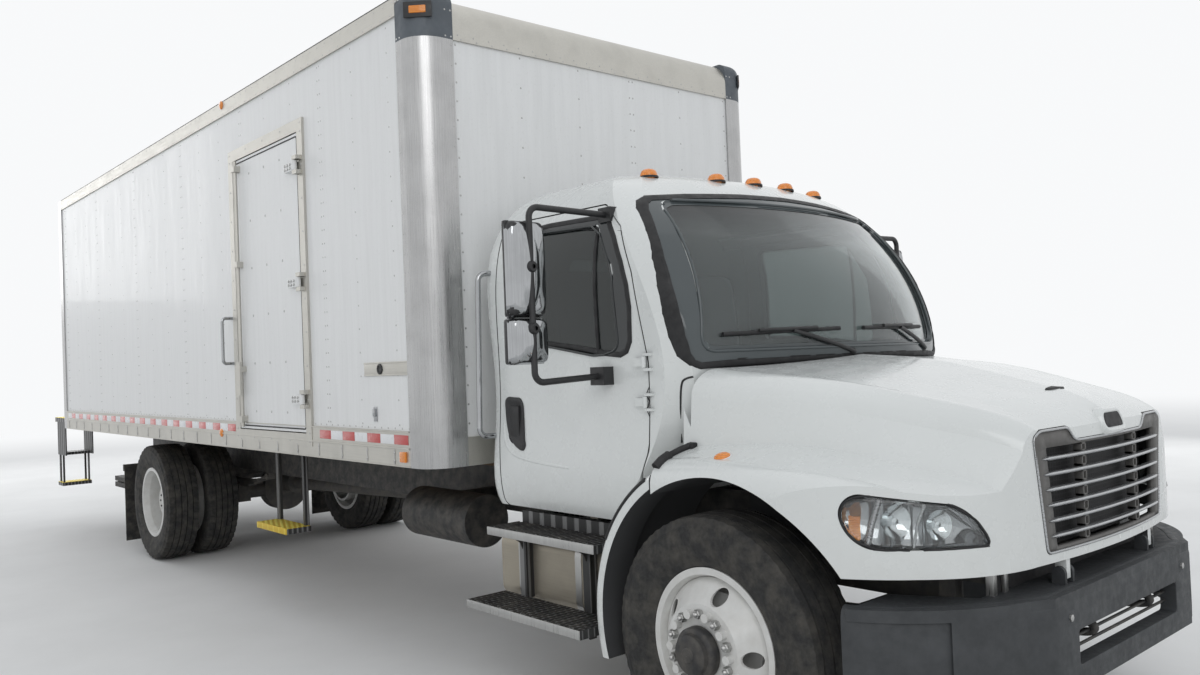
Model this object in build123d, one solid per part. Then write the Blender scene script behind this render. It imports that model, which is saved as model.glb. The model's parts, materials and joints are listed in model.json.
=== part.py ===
from build123d import *
import os
from math import cos, radians, sin, sqrt

# Box truck: bonneted cab, two-axle chassis, van body with a side door and a tuck-under liftgate.
# Millimetres. +Z is up, the truck faces -Y, its right (kerb) side is -X.
# The origin is on the ground under the middle of the whole truck.

# Driving dimensions, along the truck
FRONT_OVERHANG = 1080.0     # bumper face to front axle
CAB_BACK = 1620.0           # front axle to back of cab
CAB_GAP = 106.0             # back of cab to front of box
BOX_LENGTH = 7600.0
STEP_REACH = 424.0          # rear steps behind the box
WHEELBASE = 6620.0

OVERALL = FRONT_OVERHANG + CAB_BACK + CAB_GAP + BOX_LENGTH + STEP_REACH
AXLE_Y = FRONT_OVERHANG - OVERALL / 2
REAR_AXLE_Y = AXLE_Y + WHEELBASE
CAB_REAR = AXLE_Y + CAB_BACK
BOX_FRONT = CAB_REAR + CAB_GAP
BOX_REAR = BOX_FRONT + BOX_LENGTH

# Driving dimensions, across and up
BOX_WIDTH = 2591.0
BOX_BOTTOM = 1091.0         # underside of the bottom rails
BOX_TOP = 3565.0
BOX_WALL = 50.0
FLOOR_TOP = 1200.0
DECK = 45.0
FRAME_WIDTH = 864.0         # over the rail webs
RAIL_TOP = 985.0
RAIL_DEPTH = 258.0
RAIL_FLANGE = 80.0
RAIL_WEB = 10.0
TYRE_RADIUS = 505.0
TYRE_WIDTH = 278.0
RIM_RADIUS = 286.0          # bead seat
FRONT_TRACK = 2060.0        # between tyre centres
DUAL_INNER_TRACK = 1494.0
DUAL_OUTER_TRACK = 2180.0
KINGPIN_HALF = 880.0

# Running clearances and seats
GAP = 0.3                   # pieces that seat on each other
SEAM = 7.0                  # round doors and behind the bonnet

HALF_BOX = BOX_WIDTH / 2
HALF_FRAME = FRAME_WIDTH / 2

PARTS = {}


def add(node, *shapes):
    """Keep the solids of one node."""
    solids = []
    for shape in shapes:
        solids += list(shape.solids())
    PARTS[node] = solids[0] if len(solids) == 1 else Compound(children=solids)


def block(x, y, z):
    """A box between the two limits given for each direction."""
    size = [abs(limit[1] - limit[0]) for limit in (x, y, z)]
    middle = [(limit[0] + limit[1]) / 2 for limit in (x, y, z)]
    return Pos(*middle) * Box(*size)


def fused(shapes):
    """One shape from many."""
    total = shapes[0]
    for shape in shapes[1:]:
        total = total + shape
    return total


def mirrored(shape):
    """The same piece on the other side of the truck."""
    return mirror(shape, about=Plane.YZ)


def both(shape):
    """The piece and its mirror image."""
    return [shape, mirrored(shape)]


def rod(start, end, radius):
    """A round bar from one point to another."""
    start = Vector(*start)
    end = Vector(*end)
    plane = Plane(origin=start, z_dir=end - start)
    return extrude(plane * Circle(radius), (end - start).length)


def tube(points, radius, bend):
    """A round bar along straight runs joined by bends."""
    path = FilletPolyline(*points, radius=bend)
    plane = Plane(origin=path @ 0, z_dir=path % 0)
    return sweep(plane * Circle(radius), path=path)


def disc(x, y, z, radius, width):
    """A cylinder with its axis along X, between x and x + width."""
    return Pos(x + width / 2, y, z) * Rot(0, 90, 0) * Cylinder(radius, abs(width))


def side_sheet(points, x0, x1, radius=0.0, grow=0.0):
    """A sheet cut to a side view outline of (y, z), between two X limits."""
    face = make_face(Polyline(*points, close=True))
    if radius:
        face = fillet(face.vertices(), radius)
    if grow:
        face = offset(face, grow)
    return extrude(Plane(origin=(x0, 0, 0), x_dir=(0, 1, 0), z_dir=(1, 0, 0)) * face, x1 - x0)


def front_sheet(points, y0, y1, radius=0.0):
    """A sheet cut to a front view outline of (x, z), between two Y limits."""
    face = make_face(Polyline(*points, close=True))
    if radius:
        face = fillet(face.vertices(), radius)
    return extrude(Plane(origin=(0, y1, 0), x_dir=(1, 0, 0), z_dir=(0, -1, 0)) * face, y1 - y0)


def ring(x, y, z, outer, inner, width):
    """A band round an axle line, between x and x + width."""
    return disc(x, y, z, outer, width) - disc(x - 1, y, z, inner, width + 2)


# Chassis

CROSS_MEMBER = 90.0
FRAME_FRONT = AXLE_Y - 780.0
FRAME_REAR = BOX_REAR - 150.0
CROSS_PLACES = (0.28, 0.45, 0.62, 0.80, 0.99)
FRONT_MEMBER_Y = AXLE_Y - 700.0


TOW_X = 330.0
TOW_Y = AXLE_Y - 965.0
TOW_Z = 600.0
TOW_BORE = 22.0
TOW_PLATE = 25.0
TOW_ARM = 45.0


def chassis():
    """Two channel rails, their cross members and the front member with its tow eyes."""
    low = RAIL_TOP - RAIL_DEPTH
    length = (FRAME_FRONT, FRAME_REAR)
    outer = block((HALF_FRAME - RAIL_FLANGE, HALF_FRAME), length, (low, RAIL_TOP))
    hollow = block(
        (HALF_FRAME - RAIL_FLANGE - 1, HALF_FRAME - RAIL_WEB),
        (FRAME_FRONT - 1, FRAME_REAR + 1),
        (low + RAIL_WEB, RAIL_TOP - RAIL_WEB),
    )
    add("frame_rails", *both(outer - hollow))

    inside = HALF_FRAME - RAIL_WEB - GAP
    members = []
    for place in CROSS_PLACES:
        y = FRAME_FRONT + place * (FRAME_REAR - FRAME_FRONT)
        member = block((-inside, inside), (y - CROSS_MEMBER / 2, y + CROSS_MEMBER / 2),
                       (low + 40, RAIL_TOP - 40))
        member = member - block((-inside + 60, inside - 60),
                                (y - CROSS_MEMBER / 2 + 12, y + CROSS_MEMBER),
                                (low + 52, RAIL_TOP - 52))
        members.append(member)
    add("cross_members", *members)

    front = block((-inside, inside), (FRONT_MEMBER_Y - 40, FRONT_MEMBER_Y + 40),
                  (low + RAIL_WEB + GAP, low + 90))
    for side in (-1, 1):
        x = side * TOW_X
        hanger = block((x - TOW_PLATE / 2, x + TOW_PLATE / 2), (FRONT_MEMBER_Y - 40, FRONT_MEMBER_Y + 40),
                       (TOW_Z - TOW_PLATE / 2, low + 60))
        arm = block((x - TOW_ARM, x + TOW_ARM), (TOW_Y, FRONT_MEMBER_Y + 40),
                    (TOW_Z - TOW_PLATE / 2, TOW_Z + TOW_PLATE / 2))
        eye = Pos(x, TOW_Y, TOW_Z) * Cylinder(TOW_ARM, TOW_PLATE)
        hole = Pos(x, TOW_Y, TOW_Z) * Cylinder(TOW_BORE, TOW_PLATE + 2)
        front = front + hanger + arm + eye - hole
    add("tow_member", front)


ENGINE_LENGTH = 960.0
ENGINE_WIDTH = 660.0
ENGINE_LOW = 600.0
ENGINE_HIGH = 1270.0
ENGINE_FRONT = AXLE_Y - 730.0
GEARBOX_RADIUS = 190.0
SHAFT_RADIUS = 55.0
SHAFT_Z = 700.0
RADIATOR_TOP = 1290.0


def power_train():
    """Engine block, gearbox with propeller shaft, and radiator."""
    half = ENGINE_WIDTH / 2
    low = RAIL_TOP - RAIL_DEPTH
    slim = HALF_FRAME - RAIL_FLANGE - 12
    rear = ENGINE_FRONT + ENGINE_LENGTH
    lower = block((-slim, slim), (ENGINE_FRONT + 160, rear), (ENGINE_LOW, RAIL_TOP))
    upper = block((-half, half), (ENGINE_FRONT, rear), (RAIL_TOP + 15, ENGINE_HIGH))
    neck = block((-slim, slim), (ENGINE_FRONT + 160, rear), (RAIL_TOP - 1, RAIL_TOP + 16))
    add("engine", lower + upper + neck)

    gearbox_front = rear + GAP
    gearbox_rear = gearbox_front + 900.0
    bell = Pos(0, (gearbox_front + gearbox_front + 250) / 2, SHAFT_Z + 60) * Rot(90, 0, 0) \
        * Cylinder(GEARBOX_RADIUS + 40, 250)
    case = Pos(0, (gearbox_front + gearbox_rear) / 2, SHAFT_Z + 30) * Rot(90, 0, 0) \
        * Cylinder(GEARBOX_RADIUS - 20, gearbox_rear - gearbox_front)
    nose_y = REAR_AXLE_Y - AXLE_NOSE
    shaft_points = [
        ((0, gearbox_rear - 20, SHAFT_Z), (0, gearbox_rear + 1900, SHAFT_Z - 20)),
        ((0, gearbox_rear + 1900, SHAFT_Z - 20), (0, nose_y - 6, TYRE_RADIUS + 60)),
    ]
    shafts = [rod(a, b, SHAFT_RADIUS) for a, b in shaft_points]
    carrier = block((-130, 130), (gearbox_rear + 1870, gearbox_rear + 1930),
                    (SHAFT_Z - 90, SHAFT_Z + 90))
    hanger_top = RAIL_TOP - RAIL_DEPTH + 10
    bearer = block((-HALF_FRAME + RAIL_WEB + GAP, HALF_FRAME - RAIL_WEB - GAP),
                   (gearbox_rear + 1880, gearbox_rear + 1920), (hanger_top, hanger_top + 50))
    add("driveline", fused([bell, case, carrier, bearer] + shafts))

    rear_face = FRAME_FRONT - 12.0
    core = block((-420, 420), (rear_face - 75, rear_face), (low + GAP, RADIATOR_TOP))
    tanks = [block((side * 419, side * 455), (rear_face - 85, rear_face + 8),
                   (low + GAP, RADIATOR_TOP + 10)) for side in (-1, 1)]
    fan = Pos(0, rear_face + 19, 960) * Rot(90, 0, 0) * Cylinder(250, 40)
    add("radiator", fused([core, fan] + tanks))


# Axles, hubs and wheels

AXLE_NOSE = 330.0
BEAM_HEIGHT = 90.0
BEAM_DROP = 110.0
SPRING_WIDTH = 76.0
SPRING_X = HALF_FRAME - 25.0
HUB_RADIUS = 108.0
DRUM_RADIUS = 205.0
BOLT_CIRCLE = 142.9
STUD_COUNT = 10


def leaf_spring(x, y, z_seat, half_length, leaves, thick):
    """A stack of curved leaves with an eye at each end, and its two hangers."""
    rise = 70.0
    low = RAIL_TOP - RAIL_DEPTH
    pieces = []
    for leaf in range(leaves):
        reach = half_length * (1.0 - 0.2 * leaf)
        z = z_seat + thick * (leaves - leaf) - thick / 2
        lift = rise * (reach / half_length) ** 2
        top = ThreePointArc((-reach, lift + thick / 2), (0, thick / 2), (reach, lift + thick / 2))
        base = ThreePointArc((-reach, lift - thick / 2), (0, -thick / 2), (reach, lift - thick / 2))
        ends = [Line(top @ 0, base @ 0), Line(top @ 1, base @ 1)]
        face = make_face(Plane.YZ * Wire([top, base] + ends))
        leaf_solid = extrude(Pos(x - SPRING_WIDTH / 2, y, z) * face, SPRING_WIDTH, dir=(1, 0, 0))
        pieces.append(leaf_solid)
    eye_z = z_seat + thick * leaves - thick / 2 + rise
    for end in (-1, 1):
        eye_y = y + end * half_length
        pieces.append(disc(x - SPRING_WIDTH / 2, eye_y, eye_z, 28, SPRING_WIDTH))
        pieces.append(block((x - 22, x + 22), (eye_y - 35, eye_y + 35), (eye_z, low - GAP)))
    return pieces


def axles():
    """The steered beam and the driven axle, each with its springs."""
    z = TYRE_RADIUS
    drop = z - BEAM_DROP
    yoke = KINGPIN_HALF - 55.0
    section_y = (AXLE_Y - 45, AXLE_Y + 45)
    beam_points = [
        (-yoke, z - 45), (-620, drop - 20), (620, drop - 20), (yoke, z - 45),
        (yoke, z + 45), (600, drop + BEAM_HEIGHT - 20), (-600, drop + BEAM_HEIGHT - 20),
        (-yoke, z + 45),
    ]
    beam = front_sheet(beam_points, *section_y)
    seat = drop + BEAM_HEIGHT - 20
    eyes = both(Pos(KINGPIN_HALF - 2, AXLE_Y, z) * Cylinder(46, 96)
                + block((yoke - 30, KINGPIN_HALF - 20), (AXLE_Y - 40, AXLE_Y + 40),
                        (z - 45, z + 45)))
    pins = both(Pos(KINGPIN_HALF - 2, AXLE_Y, z) * Cylinder(KINGPIN_RADIUS, KINGPIN_LENGTH))
    springs = []
    for side in (-1, 1):
        springs += leaf_spring(side * SPRING_X, AXLE_Y + 60, seat + 20, 640, 3, 18)
        springs.append(block((side * SPRING_X - 50, side * SPRING_X + 50),
                             (AXLE_Y - 60, AXLE_Y + 60), (seat - 10, seat + 40)))
    add("front_axle", fused([beam] + eyes + pins + springs))

    housing = Pos(0, REAR_AXLE_Y, z) * Rot(0, 90, 0) * Cylinder(AXLE_TUBE, 2 * AXLE_END)
    banjo = Pos(0, REAR_AXLE_Y, z) * Rot(90, 0, 0) * Cylinder(215, 150)
    bowl = Pos(0, REAR_AXLE_Y + 60, z) * Sphere(170)
    nose = Pos(0, REAR_AXLE_Y - AXLE_NOSE / 2 + GAP, z + 60) * Rot(90, 0, 0) \
        * Cylinder(95, AXLE_NOSE)
    rear = [housing, banjo, bowl, nose]
    for side in (-1, 1):
        rear += leaf_spring(side * SPRING_X, REAR_AXLE_Y, z + 60, 680, 4, 16)
        rear.append(block((side * SPRING_X - 55, side * SPRING_X + 55),
                          (REAR_AXLE_Y - 75, REAR_AXLE_Y + 75), (z - 90, z + 90)))
    add("rear_axle", fused(rear))


KINGPIN_RADIUS = 22.0
KINGPIN_LENGTH = 220.0
KINGPIN_FIT = 0.06
SPINDLE_RADIUS = 35.0
SPINDLE_FIT = 0.06
WHEEL_OFFSET = 155.0
FRONT_FACE = FRONT_TRACK / 2 + WHEEL_OFFSET      # disc mounting face, front
REAR_FACE = (DUAL_INNER_TRACK + DUAL_OUTER_TRACK) / 4
AXLE_END = 1010.0
AXLE_TUBE = 72.0


def knuckle():
    """A steering knuckle: yoke ears round the kingpin, spindle and brake drum backing."""
    x = KINGPIN_HALF - 2
    z = TYRE_RADIUS
    ears = []
    for side in (-1, 1):
        ear = Pos(x, AXLE_Y, z + side * 78) * Cylinder(50, 50)
        ears.append(ear)
    back = block((x + 52, x + 84), (AXLE_Y - 50, AXLE_Y + 50), (z - 103, z + 103))
    arms = [block((x, x + 84), (AXLE_Y - 48, AXLE_Y + 48), (z + side * 78 - 25, z + side * 78 + 25))
            for side in (-1, 1)]
    spindle = disc(x + 80, AXLE_Y, z, SPINDLE_RADIUS, FRONT_FACE - x - 90)
    plate = disc(x + 62, AXLE_Y, z, DRUM_RADIUS - 25, 14)
    lever = block((x - 10, x + 60), (AXLE_Y + 40, AXLE_Y + 210), (z - 100, z - 60))
    body = fused([back, spindle, plate, lever] + ears + arms)
    bore = Pos(x, AXLE_Y, z) * Cylinder(KINGPIN_RADIUS + KINGPIN_FIT, 260)
    return body - bore


def tyre(center_x, y, width):
    """A tyre: flat tread, rounded shoulders and bulged sidewalls, open at the rim."""
    half = width / 2
    bead = width * RIM_SHARE - GAP
    z = TYRE_RADIUS
    # Columns: distance from the tyre's middle, radius
    side = ((bead, RIM_RADIUS + 20), (half, RIM_RADIUS + 100), (half * 0.95, TYRE_RADIUS - 40),
            (half * 0.74, TYRE_RADIUS))
    outline = [(-x, radius) for x, radius in side] + [(x, radius) for x, radius in reversed(side)]
    sections = []
    for x, radius in outline:
        plane = Plane(origin=(center_x + x, y, z), z_dir=(1, 0, 0))
        sections.append(plane * RegularPolygon(radius, TYRE_SIDES))
    solid = loft(sections, ruled=True)
    return solid - disc(center_x - half, y, z, RIM_RADIUS, width)


def rim(center_x, y, face_x, hub_hole, disc_side):
    """A disc wheel: rim barrel, coned disc out to its mounting face, hand holes and hub hole."""
    half = TYRE_WIDTH * RIM_SHARE
    inner = RIM_RADIUS - 18.0
    barrel = [
        (-half, RIM_RADIUS + 18), (-half, RIM_RADIUS - GAP), (-half * 0.55, inner),
        (half * 0.55, inner), (half, RIM_RADIUS - GAP), (half, RIM_RADIUS + 18),
        (half + 9, RIM_RADIUS + 18), (half + 9, RIM_RADIUS - 9),
        (half * 0.6, inner - 9), (-half * 0.6, inner - 9),
        (-half - 9, RIM_RADIUS - 9), (-half - 9, RIM_RADIUS + 18),
    ]
    band = revolve(make_face(Plane.XZ * Polyline(*barrel, close=True)), axis=Axis.X)
    face = face_x - center_x
    near = face if disc_side > 0 else face - DISC
    far = near + DISC
    root = (half * 0.72 if face > 0 else -half * 0.72)
    plate = [
        (root - 7, inner - 5), (near, 178.0), (near, hub_hole), (far, hub_hole), (far, 178.0),
        (root + 7, inner - 5),
    ]
    wheel = band + revolve(make_face(Plane.XZ * Polyline(*plate, close=True)), axis=Axis.X)
    for hole in range(HAND_HOLES):
        angle = radians(360.0 / HAND_HOLES * (hole + 0.5))
        wheel = wheel - Pos((face + root) / 2, HAND_CIRCLE * cos(angle), HAND_CIRCLE * sin(angle)) \
            * Rot(0, 90, 0) * Cylinder(31, 110)
    return Pos(center_x, y, TYRE_RADIUS) * wheel


DISC = 11.0
HAND_CIRCLE = 216.0
HAND_HOLES = 5
RIM_SHARE = 0.37            # half the rim's width as a share of the tyre's
TYRE_SIDES = 48


def stud_ring(face_x, y, outward, length):
    """Wheel nuts on the bolt circle."""
    nuts = []
    for stud in range(STUD_COUNT):
        angle = radians(360.0 / STUD_COUNT * stud)
        nuts.append(Pos(face_x + outward * length / 2, y + BOLT_CIRCLE * cos(angle),
                        TYRE_RADIUS + BOLT_CIRCLE * sin(angle)) * Rot(0, 90, 0)
                    * Cylinder(17, length))
    return nuts


def running_gear():
    """Knuckles, tyres and wheels."""
    steer = knuckle()
    add("knuckle_left", steer)
    add("knuckle_right", mirrored(steer))

    x = FRONT_TRACK / 2
    front_tyre = tyre(x, AXLE_Y, TYRE_WIDTH)
    wheel = rim(x, AXLE_Y, FRONT_FACE, HUB_RADIUS - 30, 1)
    z = TYRE_RADIUS
    hub_back = KINGPIN_HALF - 2 + 84 + GAP
    hub = disc(hub_back, AXLE_Y, z, 80, FRONT_FACE - hub_back)
    drum = disc(hub_back + 6, AXLE_Y, z, DRUM_RADIUS, 120)
    drum = drum - disc(hub_back, AXLE_Y, z, DRUM_RADIUS - 16, 110)
    flange = disc(FRONT_FACE - 22, AXLE_Y, z, 170, 22)
    join = disc(hub_back + 110, AXLE_Y, z, DRUM_RADIUS - 2, 16)
    cap = disc(FRONT_FACE - 2, AXLE_Y, z, HUB_RADIUS - 29, 50)
    nuts = stud_ring(FRONT_FACE + 5, AXLE_Y, 1, 34)
    front = fused([wheel, hub, drum, flange, join, cap] + nuts)
    bore = disc(hub_back - 5, AXLE_Y, z, SPINDLE_RADIUS + SPINDLE_FIT, FRONT_FACE + 20 - hub_back)
    front = front - bore
    add("front_wheel_left", front)
    add("front_wheel_right", mirrored(front))
    add("front_tyre_left", front_tyre)
    add("front_tyre_right", mirrored(front_tyre))

    outer_x = DUAL_OUTER_TRACK / 2
    inner_x = DUAL_INNER_TRACK / 2
    tyres = [tyre(outer_x, REAR_AXLE_Y, TYRE_WIDTH), tyre(inner_x, REAR_AXLE_Y, TYRE_WIDTH)]
    outer = rim(outer_x, REAR_AXLE_Y, REAR_FACE, HUB_RADIUS - 2, 1)
    inner = rim(inner_x, REAR_AXLE_Y, REAR_FACE, HUB_RADIUS - 2, -1)
    bore_radius = AXLE_TUBE + SPINDLE_FIT
    hub = disc(inner_x - 60, REAR_AXLE_Y, z, HUB_RADIUS, REAR_FACE + 175 - inner_x + 60)
    flange = disc(REAR_FACE - 26, REAR_AXLE_Y, z, 172, 16)
    cap = disc(REAR_FACE + 173, REAR_AXLE_Y, z, HUB_RADIUS + 12, 20)
    drum = disc(inner_x - 150, REAR_AXLE_Y, z, DRUM_RADIUS + 8, REAR_FACE - inner_x + 140)
    drum = drum - disc(inner_x - 160, REAR_AXLE_Y, z, DRUM_RADIUS - 10, REAR_FACE - inner_x + 125)
    nuts = stud_ring(REAR_FACE + 8, REAR_AXLE_Y, 1, 46)
    rear = fused([outer, inner, hub, flange, cap, drum] + nuts)
    rear = rear - disc(inner_x - 170, REAR_AXLE_Y, z, bore_radius, AXLE_END + 3 - inner_x + 170)
    add("rear_wheels_left", rear)
    add("rear_wheels_right", mirrored(rear))
    add("rear_tyres_left", *tyres)
    add("rear_tyres_right", *[mirrored(item) for item in tyres])


# Cab

CAB_WALL = 55.0
CAB_CORNER = 90.0           # rear corner radius
CAB_FLOOR = 1065.0
TUNNEL_HALF = 700.0
GLASS = 8.0
GLASS_INSET = 12.0

# Columns: height, front centre y, front corner x, front corner y, side x, side start y, back y
CAB_SECTIONS = (
    (905.0, 590.0, 900.0, 605.0, 1005.0, 655.0, 1600.0),
    (1240.0, 275.0, 900.0, 290.0, 1018.0, 400.0, 1618.0),
    (1592.0, 60.0, 950.0, 226.0, 1006.0, 330.0, 1620.0),
    (2350.0, 425.0, 835.0, 590.0, 915.0, 700.0, 1600.0),
    (2440.0, 560.0, 740.0, 690.0, 830.0, 790.0, 1545.0),
    (2498.0, 800.0, 520.0, 880.0, 600.0, 960.0, 1380.0),
)
BACK_STEP = CAB_BACK - 1620.0


def cab_section(row, inset, floor_drop):
    """One level outline of the cab, drawn inset by a wall's thickness."""
    height, centre_y, corner_x, corner_y, side_x, side_y, back_y = row
    top = CAB_SECTIONS[-1][0]
    if height == top:
        height = top - inset
    if height == CAB_SECTIONS[0][0]:
        height = height + inset - floor_drop
    centre_y = AXLE_Y + centre_y + inset
    corner_y = AXLE_Y + corner_y + inset
    side_y = AXLE_Y + side_y + inset * 0.5
    back_y = AXLE_Y + back_y + BACK_STEP - inset
    corner_x = corner_x - inset * 0.75
    side_x = side_x - inset
    radius = CAB_CORNER - inset * 0.5
    bend = radius * (1 - sqrt(0.5))
    edges = [
        ThreePointArc((-corner_x, corner_y, height), (0, centre_y, height),
                      (corner_x, corner_y, height)),
        Line((corner_x, corner_y, height), (side_x, side_y, height)),
        Line((side_x, side_y, height), (side_x, back_y - radius, height)),
        ThreePointArc((side_x, back_y - radius, height), (side_x - bend, back_y - bend, height),
                      (side_x - radius, back_y, height)),
        Line((side_x - radius, back_y, height), (-side_x + radius, back_y, height)),
        ThreePointArc((-side_x + radius, back_y, height), (-side_x + bend, back_y - bend, height),
                      (-side_x, back_y - radius, height)),
        Line((-side_x, back_y - radius, height), (-side_x, side_y, height)),
        Line((-side_x, side_y, height), (-corner_x, corner_y, height)),
    ]
    return Face(Wire(edges))


def cab_body(inset=0.0, floor_drop=0.0):
    """The cab's outer form, or the same form drawn inwards."""
    return loft([cab_section(row, inset, floor_drop) for row in CAB_SECTIONS])


def cab_points(points):
    """Side view points given from the front axle line."""
    return [(AXLE_Y + y, z) for y, z in points]


DOOR_OUTLINE = (
    (655.0, 905.0), (520.0, 1010.0), (428.0, 1230.0), (425.0, 1600.0), (500.0, 1990.0),
    (590.0, 2200.0), (730.0, 2318.0), (1500.0, 2325.0), (1512.0, 1240.0), (1490.0, 905.0),
)
DOOR_WINDOW = (
    (600.0, 1660.0), (740.0, 1632.0), (1100.0, 1690.0), (1400.0, 1700.0), (1400.0, 2250.0),
    (740.0, 2225.0), (625.0, 2010.0),
)
WINDSHIELD = ((-905.0, 1635.0), (-795.0, 2325.0), (795.0, 2325.0), (905.0, 1635.0))
REAR_WINDOW = ((-450.0, 1740.0), (-450.0, 2180.0), (450.0, 2180.0), (450.0, 1740.0))


def door_zone(grow):
    """The space a door's thickness takes, wider where the cab leans in above the belt."""
    belt = CAB_SECTIONS[2][0]
    low_x = CAB_SECTIONS[2][4] - CAB_WALL - 6
    high_x = CAB_SECTIONS[3][4] - CAB_WALL - 2
    y = (CAB_REAR - 1700, CAB_REAR)
    return block((low_x + grow, 1200), y, (800, belt + 10)) + block((high_x + grow, 1200), y,
                                                                  (belt, 2400))


DOOR_PIN_X = 1020.0
DOOR_PIN_Y = AXLE_Y + 436.0
DOOR_PIN = 5.0
DOOR_PIN_FIT = 0.06
DOOR_HINGES = (1430.0, 1600.0)


def cab_hinges():
    """Pins on short ears at the front of the left door opening."""
    pieces = []
    for z in DOOR_HINGES:
        for side in (-1, 1):
            height = (z + side * 32 - 6, z + side * 32 + 6)
            pieces.append(block((975, DOOR_PIN_X + 6), (DOOR_PIN_Y - 44, DOOR_PIN_Y - 16), height)
                          + block((DOOR_PIN_X - 4, DOOR_PIN_X + 6), (DOOR_PIN_Y - 20, DOOR_PIN_Y),
                                  height))
        pieces.append(Pos(DOOR_PIN_X, DOOR_PIN_Y, z) * Cylinder(DOOR_PIN, 76))
    return pieces


def door_knuckles(panel):
    """The left door with a bored knuckle and strap at each hinge pin."""
    for z in DOOR_HINGES:
        strap = block((975, DOOR_PIN_X + 3), (DOOR_PIN_Y, DOOR_PIN_Y + 60), (z - 18, z + 18))
        panel = panel + strap + Pos(DOOR_PIN_X, DOOR_PIN_Y, z) * Cylinder(10.5, 48)
        panel = panel - Pos(DOOR_PIN_X, DOOR_PIN_Y, z) * Cylinder(DOOR_PIN + DOOR_PIN_FIT, 80)
    return panel


def cab():
    """Cab shell, glass and both doors."""
    outer = cab_body()
    low = CAB_SECTIONS[0][0]
    below = block((-1100, 1100), (CAB_REAR - 1700, CAB_REAR + 100), (low - 100, CAB_FLOOR))
    ring_wall = outer - (cab_body(CAB_WALL) - below)
    ring_wall = ring_wall - block((-TUNNEL_HALF, TUNNEL_HALF), (CAB_REAR - 1700, CAB_REAR + 100),
                                  (low - 100, CAB_FLOOR - CAB_WALL))
    skin = outer - cab_body(CAB_WALL, CAB_WALL + 60)
    door_cut = side_sheet(cab_points(DOOR_OUTLINE), 600.0, 1100.0, 40.0)
    door_gap = side_sheet(cab_points(DOOR_OUTLINE), 600.0, 1100.0, 40.0, SEAM)
    shield_cut = front_sheet(WINDSHIELD, AXLE_Y - 50, AXLE_Y + 900, 70.0)
    back_cut = front_sheet(REAR_WINDOW, CAB_REAR - 250, CAB_REAR + 50, 60.0)
    door_gap = door_gap & door_zone(-SEAM)
    shell = ring_wall - door_gap - mirrored(door_gap) - shield_cut - back_cut
    pads = []
    for y in (AXLE_Y + 760, CAB_REAR - 160):
        pads += both(block((HALF_FRAME - RAIL_FLANGE, HALF_FRAME), (y, y + 90),
                           (RAIL_TOP + GAP, CAB_FLOOR - CAB_WALL + 5)))
    hinges = []
    for piece in cab_hinges():
        hinges += both(piece)
    add("cab_shell", fused([shell] + pads + hinges))

    pane = cab_body(GLASS_INSET) - cab_body(GLASS_INSET + GLASS)
    add("cab_glass", pane & shield_cut, pane & back_cut)

    door = skin & door_cut & door_zone(0.0)
    window = side_sheet(cab_points(DOOR_WINDOW), 600.0, 1100.0, 50.0)
    panel = door - window
    handle_y = AXLE_Y + 1385.0
    recess = side_sheet([(handle_y - 55, 1215.0), (handle_y - 55, 1430.0),
                         (handle_y + 55, 1430.0), (handle_y + 55, 1215.0)], 990.0, 1060.0, 50.0)
    panel = door_knuckles(panel - recess)
    add("door_left", panel)
    add("door_right", mirrored(panel))
    glass = pane & window
    add("door_glass_left", glass)
    add("door_glass_right", mirrored(glass))


# Mirrors on the doors

MIRROR_X = 1400.0
MIRROR_Y = 700.0
MIRROR_TUBE = 14.0


def mirrors():
    """A bent tube loop on each door with a flat head over a convex one."""
    y = AXLE_Y + 690.0
    top_mount = (925.0 + 40.0, y, 2265.0)
    low_mount = (1003.0 + 40.0, y, 1545.0)
    head_y = AXLE_Y + MIRROR_Y
    route = [
        top_mount, (MIRROR_X, head_y, 2275.0), (MIRROR_X, head_y, 1530.0), low_mount,
    ]
    loop = tube(route, MIRROR_TUBE, 45.0)
    pads = [
        block((880.0, 985.0), (y - 40, y + 40), (2232.0, 2298.0)),
        block((960.0, 1065.0), (y - 45, y + 45), (1505.0, 1585.0)),
    ]
    big = block((MIRROR_X - 90, MIRROR_X + 90), (head_y + 10, head_y + 75), (1815.0, 2215.0))
    big = fillet(big.edges(), 24.0)
    small = block((MIRROR_X - 90, MIRROR_X + 90), (head_y + 10, head_y + 85), (1615.0, 1800.0))
    small = fillet(small.edges(), 28.0)
    whole = fused([loop, big, small] + pads)
    whole = whole - cab_body(-GAP)
    add("mirror_left", whole)
    add("mirror_right", mirrored(whole))


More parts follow.
